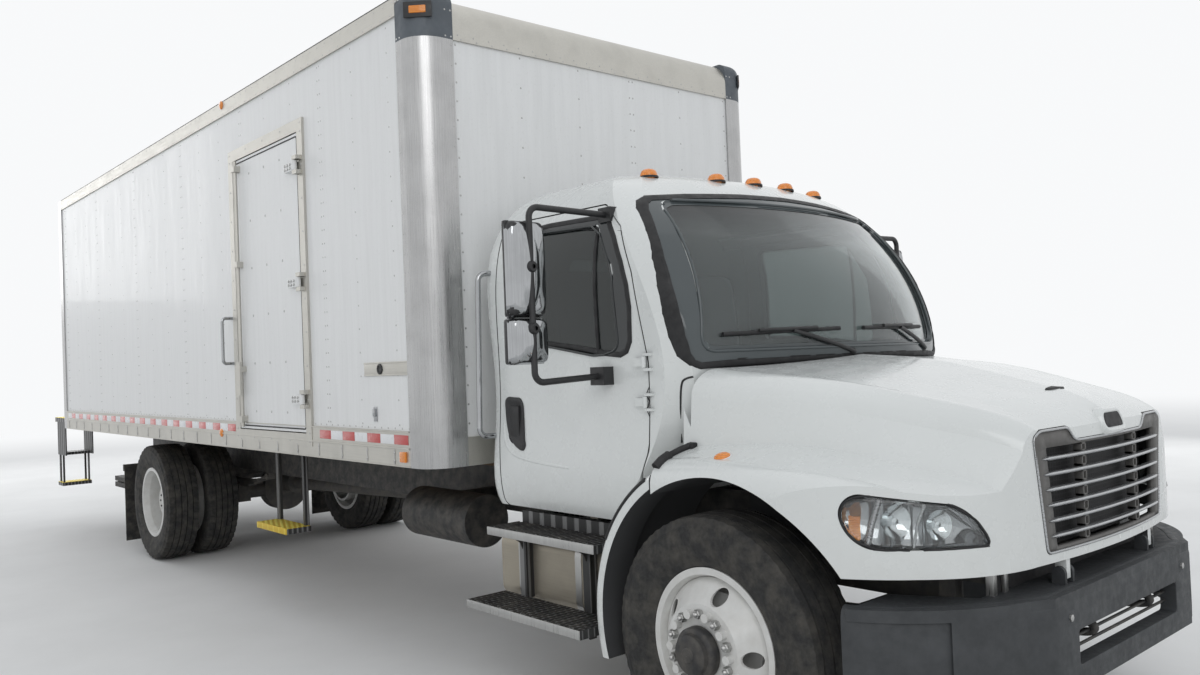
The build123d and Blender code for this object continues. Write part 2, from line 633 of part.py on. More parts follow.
def interior():
    """Dashboard with steering wheel, and two seats on the cab floor."""
    floor = CAB_FLOOR
    dash_y = AXLE_Y + 420.0
    dash = block((-880, 880), (dash_y, dash_y + 330), (1180.0, 1560.0))
    dash = fillet(dash.edges().filter_by(Axis.X), 60.0)
    column = rod((430, dash_y + 250, 1380.0), (430, dash_y + 480, 1520.0), 30.0)
    wheel_plane = Plane(origin=(430, dash_y + 480, 1520.0), z_dir=(0, 0.55, 0.835))
    rim = wheel_plane * Torus(220.0, 15.0)
    spoke = wheel_plane * Box(430.0, 40.0, 20.0)
    stay = block((-40, 40), (dash_y + 130, dash_y + 260), (floor + GAP, 1200.0))
    pieces = [dash + column + rim + spoke + stay]
    for x in (-480.0, 480.0):
        base = block((x - 200, x + 200), (AXLE_Y + 1010, AXLE_Y + 1350), (floor + GAP, 1335.0))
        cushion = block((x - 250, x + 250), (AXLE_Y + 940, AXLE_Y + 1440), (1330.0, 1470.0))
        back = Pos(x, AXLE_Y + 1430, 1770) * Rot(-6, 0, 0) * Box(470, 110, 700)
        pieces.append(base + fillet(cushion.edges(), 40.0) + fillet(back.edges(), 40.0))
    add("cab_interior", *pieces)


# Bonnet with wings

HOOD_WALL = 32.0
ARCH_Y = AXLE_Y - 60.0
ARCH_Z = 550.0
ARCH_RADIUS = 610.0
FLARE = 55.0
WING_HALF = FRONT_TRACK / 2 + 160.0
HOOD_LOW = 850.0
HOOD_BACK = 250.0           # rear edge of the wings behind the front axle

# Columns: y from the axle, wall top z, wing crown x, z, bonnet side foot x, z, shoulder x, z,
# shoulder end x, z, centre z
HOOD_SECTIONS = (
    (520.0, 1104.0, 1108.0, 1197.0, 1028.0, 1229.0, 1024.0, 1502.0, 901.0, 1613.0, 1658.0),
    (260.0, 1110.0, 1105.0, 1205.0, 990.0, 1245.0, 978.0, 1470.0, 850.0, 1580.0, 1628.0),
    (-150.0, 1120.0, 1100.0, 1218.0, 930.0, 1270.0, 905.0, 1420.0, 770.0, 1528.0, 1580.0),
    (-500.0, 1075.0, 1075.0, 1192.0, 860.0, 1240.0, 800.0, 1375.0, 670.0, 1470.0, 1522.0),
    (-800.0, 1010.0, 1000.0, 1130.0, 790.0, 1180.0, 700.0, 1310.0, 580.0, 1400.0, 1446.0),
    (-960.0, 960.0, 960.0, 1060.0, 740.0, 1130.0, 645.0, 1265.0, 540.0, 1345.0, 1390.0),
    (-1060.0, 900.0, 900.0, 1000.0, 700.0, 1060.0, 600.0, 1190.0, 500.0, 1262.0, 1300.0),
)


def hood_section(row, inset):
    """Half of a cross section of the bonnet and one wing."""
    y, wall, crown_x, crown_z, foot_x, foot_z, side_x, side_z, end_x, end_z, centre_z = row
    y = AXLE_Y + y
    low = HOOD_LOW - 300.0 - inset
    out = WING_HALF - inset
    crown = (crown_x - inset * 0.3, crown_z - inset)
    foot = (foot_x - inset * 0.7, foot_z - inset)
    shoulder = (side_x - inset, side_z - inset * 0.3)
    end = (end_x - inset * 0.4, end_z - inset)
    top = (0.0, centre_z - inset)
    wall = wall - inset * 0.3
    crown_mid = ((out + crown[0]) / 2 + 0.2 * (out - crown[0]),
                 (wall + crown[1]) / 2 + 0.2 * (crown[1] - wall))
    side_mid = ((shoulder[0] + end[0]) / 2 + 0.2 * (shoulder[0] - end[0]),
                (shoulder[1] + end[1]) / 2 + 0.2 * (end[1] - shoulder[1]))

    def at(point):
        return (point[0], y, point[1])

    edges = [
        Line(at((0.0, low)), at((out, low))),
        Line(at((out, low)), at((out, wall))),
        ThreePointArc(at((out, wall)), at(crown_mid), at(crown)),
        Line(at(crown), at(foot)),
        Line(at(foot), at(shoulder)),
        ThreePointArc(at(shoulder), at(side_mid), at(end)),
        Line(at(end), at(top)),
        Line(at(top), at((0.0, low))),
    ]
    return Face(Wire(edges))


def hood_plan(inset):
    """The bonnet and wings from above, as a tall prism."""
    def p(x, y):
        return (x, AXLE_Y + y)

    i = inset
    back = HOOD_BACK + (200.0 if inset else 0.0)
    wide = WING_HALF + 60.0
    arcs = [
        ThreePointArc(p(-560 + i * 0.5, -1005 + i), p(0, -1045 + i), p(560 - i * 0.5, -1005 + i)),
        ThreePointArc(p(560 - i * 0.5, -1005 + i), p(800 - i * 0.6, -942 + i * 0.9),
                      p(980 - i * 0.8, -800 + i * 0.7)),
        ThreePointArc(p(980 - i * 0.8, -800 + i * 0.7), p(1122 - i, -600 + i * 0.4),
                      p(WING_HALF - i, -380)),
        Line(p(WING_HALF - i, -380), p(wide, -380)),
        Line(p(wide, -380), p(wide, back)),
        Line(p(wide, back), p(-wide, back)),
        Line(p(-wide, back), p(-wide, -380)),
        Line(p(-wide, -380), p(-WING_HALF + i, -380)),
        ThreePointArc(p(-WING_HALF + i, -380), p(-1122 + i, -600 + i * 0.4),
                      p(-980 + i * 0.8, -800 + i * 0.7)),
        ThreePointArc(p(-980 + i * 0.8, -800 + i * 0.7), p(-800 + i * 0.6, -942 + i * 0.9),
                      p(-560 + i * 0.5, -1005 + i)),
    ]
    face = make_face(arcs)
    return extrude(Pos(0, 0, 300) * face, 1500)


def hood_form(inset):
    """The closed form of bonnet and wings."""
    half = loft([hood_section(row, inset) for row in HOOD_SECTIONS])
    whole = half + mirrored(half)
    return whole & hood_plan(inset)


GRILLE_OUTLINE = (
    (-515.0, 880.0), (-570.0, 1290.0), (-530.0, 1316.0), (-345.0, 1318.0), (-300.0, 1268.0),
    (300.0, 1268.0), (345.0, 1318.0), (530.0, 1316.0), (570.0, 1290.0), (515.0, 880.0),
)
GRILLE_OPENING = ((-440.0, 925.0), (-482.0, 1222.0), (482.0, 1222.0), (440.0, 925.0))
GRILLE_BARS = 7
BAR_HEIGHT = 14.0
# Corners of the headlamp on the slanted nose: distance along the nose, height
LAMP_LENGTH = 492.0
LAMP_LOW = 946.0
LAMP_HIGH = 1133.0
LAMP_MIDDLE = (960.0, -772.5)


def lamp_prism(grow, near, far):
    """The headlamp's outline, driven through the nose at its slant."""
    middle = (LAMP_MIDDLE[0], AXLE_Y + LAMP_MIDDLE[1], 0.0)
    plane = Plane(origin=middle, x_dir=(0.68, 0.733, 0), z_dir=(0.733, -0.68, 0))
    half = LAMP_LENGTH / 2
    tall = LAMP_HIGH - LAMP_LOW
    inner = (-half, LAMP_LOW)
    heel = (half * 0.49, LAMP_LOW)
    outer = (half, LAMP_LOW + tall * 0.60)
    crest = (half * 0.66, LAMP_HIGH)
    slope = (-half * 0.50, LAMP_HIGH - tall * 0.20)
    edges = [
        Line(inner, heel),
        ThreePointArc(heel, (half * 0.88, LAMP_LOW + tall * 0.25), outer),
        ThreePointArc(outer, (half * 0.92, LAMP_LOW + tall * 0.90), crest),
        Line(crest, slope),
        ThreePointArc(slope, (-half * 0.84, LAMP_LOW + tall * 0.47), inner),
    ]
    face = make_face(edges)
    if grow:
        face = offset(face, grow)
    return extrude(plane * face, near, dir=(0.733, -0.68, 0)) \
        + extrude(plane * face, far, dir=(-0.733, 0.68, 0))


def bonnet():
    """One-piece bonnet and wings, with grille and headlamps."""
    outer = hood_form(0.0)
    shell = outer - hood_form(HOOD_WALL)
    # Lower edge of the nose, and the open engine bay between the wings
    shell = shell - block((-1300, 1300), (AXLE_Y - 1300, AXLE_Y + 600), (0, HOOD_LOW))
    # Rear edge along the foot of the windshield
    scuttle = make_face([
        ThreePointArc((-980, AXLE_Y + 214), (0, AXLE_Y + 40), (980, AXLE_Y + 214)),
        Line((980, AXLE_Y + 214), (980, AXLE_Y + 900)),
        Line((980, AXLE_Y + 900), (-980, AXLE_Y + 900)),
        Line((-980, AXLE_Y + 900), (-980, AXLE_Y + 214)),
    ])
    scuttle_cut = extrude(Pos(0, 0, 300) * scuttle, 1500)
    shell = shell - scuttle_cut

    inner_arch = 655.0
    liner = ring(inner_arch, ARCH_Y, ARCH_Z, ARCH_RADIUS + 22, ARCH_RADIUS,
                 WING_HALF - inner_arch)
    liner = liner & outer & block((0, 1300), (AXLE_Y - 1300, AXLE_Y + HOOD_BACK),
                                  (HOOD_LOW, 1400))
    splash = block((inner_arch - 14, inner_arch), (AXLE_Y - 860, AXLE_Y + 190), (HOOD_LOW, 1400))
    splash = splash & outer & block((0, 1300), (AXLE_Y - 860, AXLE_Y + 190), (HOOD_LOW, 1300))
    arch_cut = disc(inner_arch, ARCH_Y, ARCH_Z, ARCH_RADIUS, 700)
    pieces = shell - arch_cut - mirrored(arch_cut)
    pieces = fused([pieces] + both(liner) + both(splash))

    grille_cut = front_sheet(GRILLE_OUTLINE, AXLE_Y - 1200, AXLE_Y - 930, 26.0)
    lamp_cut = lamp_prism(0.0, 200.0, 125.0)
    pieces = pieces - grille_cut - lamp_cut - mirrored(lamp_cut)
    hinge = []
    for side in (-1, 1):
        arm = block((side * 360, side * 390), (HINGE_Y - 20, HINGE_Y + 20),
                    (HINGE_Z - 20, HOOD_LOW + 8))
        eye = disc(min(side * 360, side * 390), HINGE_Y, HINGE_Z, 20, 30)
        hinge.append(arm + eye)
    pieces = fused([pieces] + hinge)
    for side in (-1, 1):
        pieces = pieces - disc(side * 375 - 40, HINGE_Y, HINGE_Z, HINGE_PIN + HINGE_FIT, 80)
    add("hood", pieces)

    band = hood_plan(GAP) - hood_plan(46.0)
    frame = band & front_sheet(GRILLE_OUTLINE, AXLE_Y - 1200, AXLE_Y - 930, 26.0)
    opening = front_sheet(GRILLE_OPENING, AXLE_Y - 1300, AXLE_Y - 900, 20.0)
    bars = []
    slim = hood_plan(6.0) - hood_plan(34.0)
    low = GRILLE_OPENING[0][1]
    high = GRILLE_OPENING[1][1]
    pitch = (high - low) / GRILLE_BARS
    for bar in range(GRILLE_BARS):
        z = low + pitch * (bar + 0.5)
        bars.append(slim & block((-490, 490), (AXLE_Y - 1200, AXLE_Y - 900),
                                 (z - BAR_HEIGHT / 2, z + BAR_HEIGHT / 2)))
    post_band = hood_plan(20.0) - hood_plan(44.0)
    for x in (-150.0, 150.0):
        bars.append(post_band & block((x - 8, x + 8), (AXLE_Y - 1200, AXLE_Y - 900),
                                      (low - 5, high + 5)))
    add("grille", fused([frame - opening] + bars))

    lamp_band = hood_plan(0.0) - hood_plan(110.0)
    lamp = lamp_band & lamp_prism(-GAP, 200.0, 125.0)
    lamp = lamp & block((0, 1300), (AXLE_Y - 1200, AXLE_Y - 300), (800, 1300))
    add("headlamps", *both(lamp))


WING_REAR_X = 1035.0
WING_REAR_RADIUS = 630.0    # clears the steered tyre
LINER_RADIUS = 654.0
LINER = 12.0


def wing_rears():
    """Rear ends of the wings with their liners, fixed to the cab behind the bonnet's seam."""
    start = AXLE_Y + HOOD_BACK + SEAM
    lip = ring(WING_REAR_X, ARCH_Y, ARCH_Z, WING_REAR_RADIUS + FLARE, WING_REAR_RADIUS,
               WING_HALF - WING_REAR_X)
    edges = lip.edges().filter_by(GeomType.CIRCLE).filter_by(
        lambda e: abs(e.radius - WING_REAR_RADIUS - FLARE) < 1 and e.center().X > WING_HALF - 5)
    lip = fillet(edges, 30.0)
    liner = ring(700.0, ARCH_Y, ARCH_Z, LINER_RADIUS + LINER, LINER_RADIUS, WING_REAR_X - 695.0)
    zone = block((600, 1300), (start, AXLE_Y + 900), (364, 1180))
    seat = block((760, 925), (AXLE_Y + 400, AXLE_Y + 600), (950, 1050))
    seat = seat - disc(700, ARCH_Y, ARCH_Z, LINER_RADIUS + 2, 300)
    add("wing_rears", *both(((lip + liner) & zone) + seat - cab_body(-GAP)))


HINGE_Y = AXLE_Y - 1000.0
HINGE_Z = 800.0
HINGE_PIN = 10.0
HINGE_FIT = 0.06
BUMPER_TOP = 762.0
BUMPER_LOW = 425.0
BUMPER_THICK = 60.0
BUMPER_STEP = 620.0


def bumper_plan(inset):
    """The bumper's front line from above."""
    i = inset

    def p(x, y):
        return (x, AXLE_Y + y)

    face_y = -FRONT_OVERHANG
    return make_face([
        Line(p(-BUMPER_STEP + i * 0.3, face_y + i), p(BUMPER_STEP - i * 0.3, face_y + i)),
        Line(p(BUMPER_STEP - i * 0.3, face_y + i), p(700 - i * 0.3, face_y + 45 + i)),
        ThreePointArc(p(700 - i * 0.3, face_y + 45 + i), p(980 - i * 0.7, -880 + i * 0.8),
                      p(1165 - i, -630)),
        Line(p(1165 - i, -630), p(900, -630)),
        Line(p(900, -630), p(760 - i * 0.8, -890 + i)),
        Line(p(760 - i * 0.8, -890 + i), p(-760 + i * 0.8, -890 + i)),
        Line(p(-760 + i * 0.8, -890 + i), p(-900, -630)),
        Line(p(-900, -630), p(-1165 + i, -630)),
        ThreePointArc(p(-1165 + i, -630), p(-980 + i * 0.7, -880 + i * 0.8),
                      p(-700 + i * 0.3, face_y + 45 + i)),
        Line(p(-700 + i * 0.3, face_y + 45 + i), p(-BUMPER_STEP + i * 0.3, face_y + i)),
    ])


def bumper():
    """Front bumper: a swept channel with a long opening, on two stays."""
    solid = extrude(Pos(0, 0, BUMPER_LOW) * bumper_plan(0.0), BUMPER_TOP - BUMPER_LOW)
    hollow = extrude(Pos(0, 0, BUMPER_LOW - 10) * bumper_plan(BUMPER_THICK),
                     BUMPER_TOP - BUMPER_LOW - BUMPER_THICK + 30)
    back = block((-1300, 1300), (AXLE_Y - 895, AXLE_Y - 600), (BUMPER_LOW - 20, BUMPER_TOP - 40))
    outline = block((-455, 455), (AXLE_Y - 1200, AXLE_Y - 700), (505, 625))
    outline = fillet(outline.edges().filter_by(Axis.Y), 18.0)
    body = solid - hollow - outline
    body = body - back & solid
    stays = both(block((HALF_FRAME - 60, HALF_FRAME - 15), (AXLE_Y - 1030, AXLE_Y - 640),
                       (RAIL_TOP - RAIL_DEPTH - 85, RAIL_TOP - RAIL_DEPTH - GAP)))
    pin_ears = []
    for side in (-1, 1):
        for x in (side * 345, side * 405):
            ear = block((x - 8, x + 8), (HINGE_Y - 24, HINGE_Y + 24), (BUMPER_TOP - 5, HINGE_Z))
            pin_ears.append(ear + disc(x - 8, HINGE_Y, HINGE_Z, 24, 16))
        pin_ears.append(disc(side * 375 - 40, HINGE_Y, HINGE_Z, HINGE_PIN, 80))
    add("front_bumper", fused([body] + stays + pin_ears))


# Tanks and steps under the cab

TANK_X = (470.0, 1000.0)
TANK_Z = (430.0, 770.0)
TANK_Y = (AXLE_Y + 780.0, AXLE_Y + 1560.0)
UPPER_TREAD_Z = 820.0
LOWER_TREAD_Z = 475.0
TREAD = 38.0


def tanks_and_steps():
    """An aluminium tank each side, with treads hung in front of it."""
    tank = block(TANK_X, TANK_Y, TANK_Z)
    tank = fillet(tank.edges().filter_by(Axis.Y), 70.0)
    bracket = fused([block((HALF_FRAME + GAP, TANK_X[0] + 40), (y - 30, y + 30),
                           (TANK_Z[0] + 80, RAIL_TOP - 20))
                     for y in (TANK_Y[0] + 160, TANK_Y[1] - 160)])
    add("side_tanks", *both(tank + bracket))

    front = AXLE_Y + 640.0
    back = AXLE_Y + 1500.0
    upper = block((TANK_X[1] - 20, 1165.0), (front, back - 60), (UPPER_TREAD_Z - TREAD,
                                                             UPPER_TREAD_Z))
    lower = block((TANK_X[1] + 30, 1260.0), (front, back), (LOWER_TREAD_Z - TREAD, LOWER_TREAD_Z))
    straps = []
    for y in (front + 200, back - 180):
        straps.append(block((TANK_X[1] + GAP, TANK_X[1] + 45), (y - 25, y + 25),
                            (LOWER_TREAD_Z - 5, UPPER_TREAD_Z - 5)))
    riser = block((TANK_X[1] - 60, TANK_X[1] - 20), (front + 100, back - 100),
                  (UPPER_TREAD_Z - TREAD, UPPER_TREAD_Z + 60))
    upper = upper + block((TANK_X[1] - 60, TANK_X[1] - 10), (front + 100, back - 100),
                          (UPPER_TREAD_Z - TREAD, UPPER_TREAD_Z))
    foot = block((HALF_FRAME + GAP, TANK_X[1] - 40), (back - 200, back - 140),
                 (UPPER_TREAD_Z - 8, UPPER_TREAD_Z + 42))
    foot_front = block((HALF_FRAME + GAP, TANK_X[1] - 40), (front + 180, front + 240),
                       (UPPER_TREAD_Z - 8, UPPER_TREAD_Z + 42))
    add("cab_steps", *both(fused([upper, lower, riser, foot, foot_front] + straps)))


def exhaust():
    """Exhaust silencer and air tanks slung under the frame."""
    y0 = AXLE_Y + 2100.0
    silencer = Pos(-720, y0 + 350, 720) * Rot(90, 0, 0) * Cylinder(150, 700)
    hanger = block((-720, -HALF_FRAME - GAP), (y0 + 300, y0 + 350), (740, 860))
    air = Pos(640, y0 + 500, 780) * Rot(90, 0, 0) * Cylinder(120, 1000)
    strap = block((HALF_FRAME + GAP, 640), (y0 + 300, y0 + 350), (760, 880))
    add("exhaust_and_air_tanks", silencer + hanger, air + strap)


# Van body

POST_SIDE = 206.0           # corner post along the side
POST_FRONT = 224.0          # corner post across the front
POST_RADIUS = 150.0
CAP_HEIGHT = 242.0
BOTTOM_RAIL = 190.0
TOP_RAIL = 100.0
RAIL_PROUD = 12.0
FRONT_RAIL = 242.0
SIDE_DOOR_Y = (AXLE_Y + 3160.0, AXLE_Y + 4260.0)
SIDE_DOOR_Z = (1215.0, BOX_TOP - 445.0)
DOOR_FRAME = 60.0
REAR_POST = 110.0
SILL_SPACING = 406.0


def van_body():
    """Floor, walls, roof, rails, posts and caps of the load space."""
    half = HALF_BOX - RAIL_PROUD
    rear = BOX_REAR - REAR_POST
    base = FLOOR_TOP - DECK
    deck = block((-half + BOX_WALL + GAP, half - BOX_WALL - GAP), (BOX_FRONT + BOX_WALL + GAP, rear),
                 (base, FLOOR_TOP))
    sills = []
    count = int((BOX_LENGTH - 400) // SILL_SPACING)
    for sill in range(count):
        y = BOX_FRONT + 260 + sill * (BOX_LENGTH - 520) / (count - 1)
        sills.append(block((-half + BOX_WALL, half - BOX_WALL), (y - 22, y + 22),
                           (BOX_BOTTOM + 12, base)))
    longs = both(block((HALF_FRAME - 75, HALF_FRAME - 5), (BOX_FRONT + 100, rear - 20),
                       (RAIL_TOP + GAP, BOX_BOTTOM + 20)))
    notch = both(block((HALF_BOX - POST_FRONT - GAP, HALF_BOX), (BOX_FRONT, BOX_FRONT + POST_SIDE + GAP),
                       (BOX_BOTTOM - 5, BOX_TOP + 5)))
    add("box_floor", fused([deck] + sills + longs) - notch[0] - notch[1])

    wall_low = BOX_BOTTOM + 60
    wall_high = BOX_TOP - 40
    wall = block((half - BOX_WALL, half), (BOX_FRONT + POST_SIDE, rear), (wall_low, wall_high))
    add("box_wall_left", wall)
    opening = block((-half - 100, -half + BOX_WALL + 100), SIDE_DOOR_Y, SIDE_DOOR_Z)
    add("box_wall_right", mirrored(wall) - opening)

    front_half = HALF_BOX - POST_FRONT
    front = block((-front_half, front_half), (BOX_FRONT + RAIL_PROUD, BOX_FRONT + BOX_WALL),
                  (wall_low, BOX_TOP - FRONT_RAIL))
    add("box_front_wall", front)
    roof = block((-half + BOX_WALL + GAP, half - BOX_WALL - GAP), (BOX_FRONT + POST_RADIUS, rear),
                 (BOX_TOP - 62, BOX_TOP - 22))
    add("box_roof", roof - notch[0] - notch[1])

    rail_x = (half + GAP, HALF_BOX)
    bottom = block(rail_x, (BOX_FRONT + POST_SIDE, rear), (BOX_BOTTOM, BOX_BOTTOM + BOTTOM_RAIL))
    lip = block((half - BOX_WALL, half + 5), (BOX_FRONT + POST_SIDE, rear),
                (BOX_BOTTOM, wall_low - GAP))
    bottom = bottom + lip
    front_bottom = block((-front_half, front_half), (BOX_FRONT, BOX_FRONT + RAIL_PROUD - GAP),
                         (BOX_BOTTOM, BOX_BOTTOM + BOTTOM_RAIL - 40))
    front_lip = block((-front_half, front_half), (BOX_FRONT + RAIL_PROUD - 4, BOX_FRONT + BOX_WALL),
                      (BOX_BOTTOM, wall_low - GAP))
    door_notch = block((-HALF_BOX - 10, -half + 0.5),
                       (SIDE_DOOR_Y[0] - DOOR_FRAME, SIDE_DOOR_Y[1] + DOOR_FRAME),
                       (SIDE_DOOR_Z[0] - DOOR_FRAME, BOX_TOP))
    add("bottom_rails", bottom, mirrored(bottom) - door_notch, front_bottom + front_lip)

    top = block(rail_x, (BOX_FRONT + POST_SIDE, rear), (BOX_TOP - TOP_RAIL, BOX_TOP))
    top_lip = block((half - BOX_WALL, half + 5), (BOX_FRONT + POST_SIDE, rear),
                    (wall_high + GAP, BOX_TOP))
    top = top + top_lip
    quarter = block((-front_half, front_half), (BOX_FRONT, BOX_FRONT + POST_RADIUS - GAP),
                    (BOX_TOP - FRONT_RAIL, BOX_TOP))
    edge = quarter.edges().filter_by(Axis.X).sort_by(lambda e: e.center().Y - e.center().Z)[0]
    quarter = fillet(edge, POST_RADIUS - 10)
    core = block((-front_half - 1, front_half + 1), (BOX_FRONT + BOX_WALL, BOX_FRONT + POST_RADIUS),
                 (BOX_TOP - FRONT_RAIL - 1, BOX_TOP - 62))
    quarter = quarter - core
    add("top_rails", top, mirrored(top), quarter + block(
        (-front_half, front_half), (BOX_FRONT + BOX_WALL - 4, BOX_FRONT + POST_RADIUS - GAP),
        (BOX_TOP - 80, BOX_TOP - 55)))

    post_solid = block((HALF_BOX - POST_FRONT, HALF_BOX), (BOX_FRONT, BOX_FRONT + POST_SIDE),
                       (BOX_BOTTOM, BOX_TOP - CAP_HEIGHT))
    corner = post_solid.edges().filter_by(Axis.Z).sort_by(lambda e: e.center().Y - e.center().X)[0]
    post = fillet(corner, POST_RADIUS)
    inside = block((HALF_BOX - POST_FRONT - 1, HALF_BOX - BOX_WALL),
                   (BOX_FRONT + BOX_WALL, BOX_FRONT + POST_SIDE + 1),
                   (BOX_BOTTOM - 1, BOX_TOP - CAP_HEIGHT + 1))
    inner_corner = inside.edges().filter_by(Axis.Z).sort_by(
        lambda e: e.center().Y - e.center().X)[0]
    post = post - fillet(inner_corner, POST_RADIUS - BOX_WALL)
    add("corner_posts", *both(post))

    cap_solid = block((HALF_BOX - POST_FRONT + GAP, HALF_BOX), (BOX_FRONT, BOX_FRONT + POST_SIDE - GAP),
                      (BOX_TOP - CAP_HEIGHT + GAP, BOX_TOP))
    corner = cap_solid.edges().filter_by(Axis.Z).sort_by(lambda e: e.center().Y - e.center().X)[0]
    cap = fillet(corner, POST_RADIUS)
    top_edge = cap.edges().group_by(Axis.Z)[-1].sort_by(lambda e: e.center().Y - e.center().X)[:1]
    cap = fillet(top_edge, 60.0)
    cap = cap - block((HALF_BOX - POST_FRONT - 1, HALF_BOX - BOX_WALL),
                      (BOX_FRONT + POST_RADIUS, BOX_FRONT + POST_SIDE + 1),
                      (BOX_TOP - CAP_HEIGHT - 1, BOX_TOP - 62))
    add("corner_caps", *both(cap))


def rear_end():
    """Rear frame with the roll-up door, and the steps at its corners."""
    y = (BOX_REAR - REAR_POST + GAP, BOX_REAR)
    outer = block((-HALF_BOX, HALF_BOX), y, (BOX_BOTTOM, BOX_TOP))
    hole = block((-HALF_BOX + REAR_POST, HALF_BOX - REAR_POST), (y[0] - 1, y[1] + 1),
                 (FLOOR_TOP, BOX_TOP - 180))
    add("rear_frame", outer - hole)

    panel_x = HALF_BOX - REAR_POST - 1.0
    door_y = (y[0] + 20, y[0] + 58)
    slab = block((-panel_x, panel_x), door_y, (FLOOR_TOP + GAP, BOX_TOP - 180 - GAP))
    panels = 6
    pitch = (BOX_TOP - 180 - FLOOR_TOP) / panels
    for groove in range(1, panels):
        z = FLOOR_TOP + groove * pitch
        slab = slab - block((-panel_x - 1, panel_x + 1), (door_y[1] - 8, door_y[1] + 1), (z - 5, z + 5))
    add("rollup_door", slab)

    steps = []
    upright_y = (BOX_REAR + GAP, BOX_REAR + STEP_REACH - 70)
    for x in (HALF_BOX - 280, HALF_BOX - 16):
        steps.append(block((x, x + 12), upright_y, (790, FLOOR_TOP - 12)))
    top_tread = block((HALF_BOX - 290, HALF_BOX), (BOX_REAR + GAP, BOX_REAR + STEP_REACH),
                      (FLOOR_TOP - 45, FLOOR_TOP))
    middle_tread = block((HALF_BOX - 280, HALF_BOX - 4), (BOX_REAR + 120, BOX_REAR + STEP_REACH - 70),
                         (790, 820))
    rods = []
    for x in (HALF_BOX - 270, HALF_BOX - 20):
        for step_y in (BOX_REAR + 180, BOX_REAR + STEP_REACH - 100):
            rods.append(block((x - 9, x + 9), (step_y - 9, step_y + 9), (470, 792)))
    low_tread = block((HALF_BOX - 290, HALF_BOX), (BOX_REAR + 150, BOX_REAR + STEP_REACH - 60),
                      (450, 485))
    add("rear_steps", *both(fused(steps + [top_tread, middle_tread, low_tread] + rods)))


HINGE_X = HALF_BOX + 25.0
SIDE_HINGE_Y = SIDE_DOOR_Y[0] + 8.0
SIDE_PIN = 8.0
LOCK_ROD = 13.0


def side_door():
    """Side door with its frame, three hinges, lock rod and step."""
    half = HALF_BOX - RAIL_PROUD
    y0, y1 = SIDE_DOOR_Y
    z0, z1 = SIDE_DOOR_Z
    face = (-HALF_BOX - 4, -half - GAP)
    outer = block(face, (y0 - DOOR_FRAME, y1 + DOOR_FRAME), (z0 - DOOR_FRAME, z1 + DOOR_FRAME))
    jamb = block((-half - 5, -half + BOX_WALL), (y0 + GAP, y1 - GAP), (z0 + GAP, z1 - GAP))
    clear = block((-HALF_BOX - 10, -half + BOX_WALL + 10), (y0 + 16, y1 - 16), (z0 + 16, z1 - 16))
    frame = outer + jamb - clear
    ears = []
    for share in (0.12, 0.5, 0.88):
        z = z0 + share * (z1 - z0)
        for side in (-1, 1):
            ears.append(block((-HINGE_X - 14, -HALF_BOX), (SIDE_HINGE_Y - 50, SIDE_HINGE_Y + 10),
                              (z + side * 45 - 12, z + side * 45 + 12)))
        ears.append(Pos(-HINGE_X, SIDE_HINGE_Y, z) * Cylinder(SIDE_PIN, 114))
    frame = fused([frame] + ears)
    add("side_door_frame", frame)

    leaf = block((-HALF_BOX, -half + BOX_WALL - 12), (y0 + 16 + SEAM, y1 - 16 - SEAM),
                 (z0 + 16 + SEAM, z1 - 16 - SEAM))
    straps = []
    for share in (0.12, 0.5, 0.88):
        z = z0 + share * (z1 - z0)
        knuckle_eye = Pos(-HINGE_X, SIDE_HINGE_Y, z) * Cylinder(15, 60)
        strap = block((-HINGE_X - 5, -HINGE_X + 5), (SIDE_HINGE_Y, SIDE_HINGE_Y + 150),
                      (z - 28, z + 28))
        strap = strap + block((-HINGE_X - 5, -HALF_BOX + 2), (y0 + 16 + SEAM + 2, SIDE_HINGE_Y + 150),
                              (z - 28, z + 28))
        hole = Pos(-HINGE_X, SIDE_HINGE_Y, z) * Cylinder(SIDE_PIN + 0.08, 80)
        straps.append((knuckle_eye + strap) - hole)
    add("side_door", fused([leaf] + straps))

    rod_y = y1 - 120
    rod_x = -HALF_BOX - 26
    bar = Pos(rod_x, rod_y, (z0 + z1) / 2) * Cylinder(LOCK_ROD, z1 - z0 - 70)
    guides = [block((-HALF_BOX - 44, -HALF_BOX - GAP), (rod_y - 30, rod_y + 30), (z - 20, z + 20))
              for z in (z0 + 90, z0 + 430, (z0 + z1) / 2 + 200, z1 - 90)]
    lever = block((rod_x - 20, rod_x - 8), (rod_y - 25, rod_y + 40), (z0 + 250, z0 + 480))
    add("side_door_lock", fused([bar, lever] + guides))


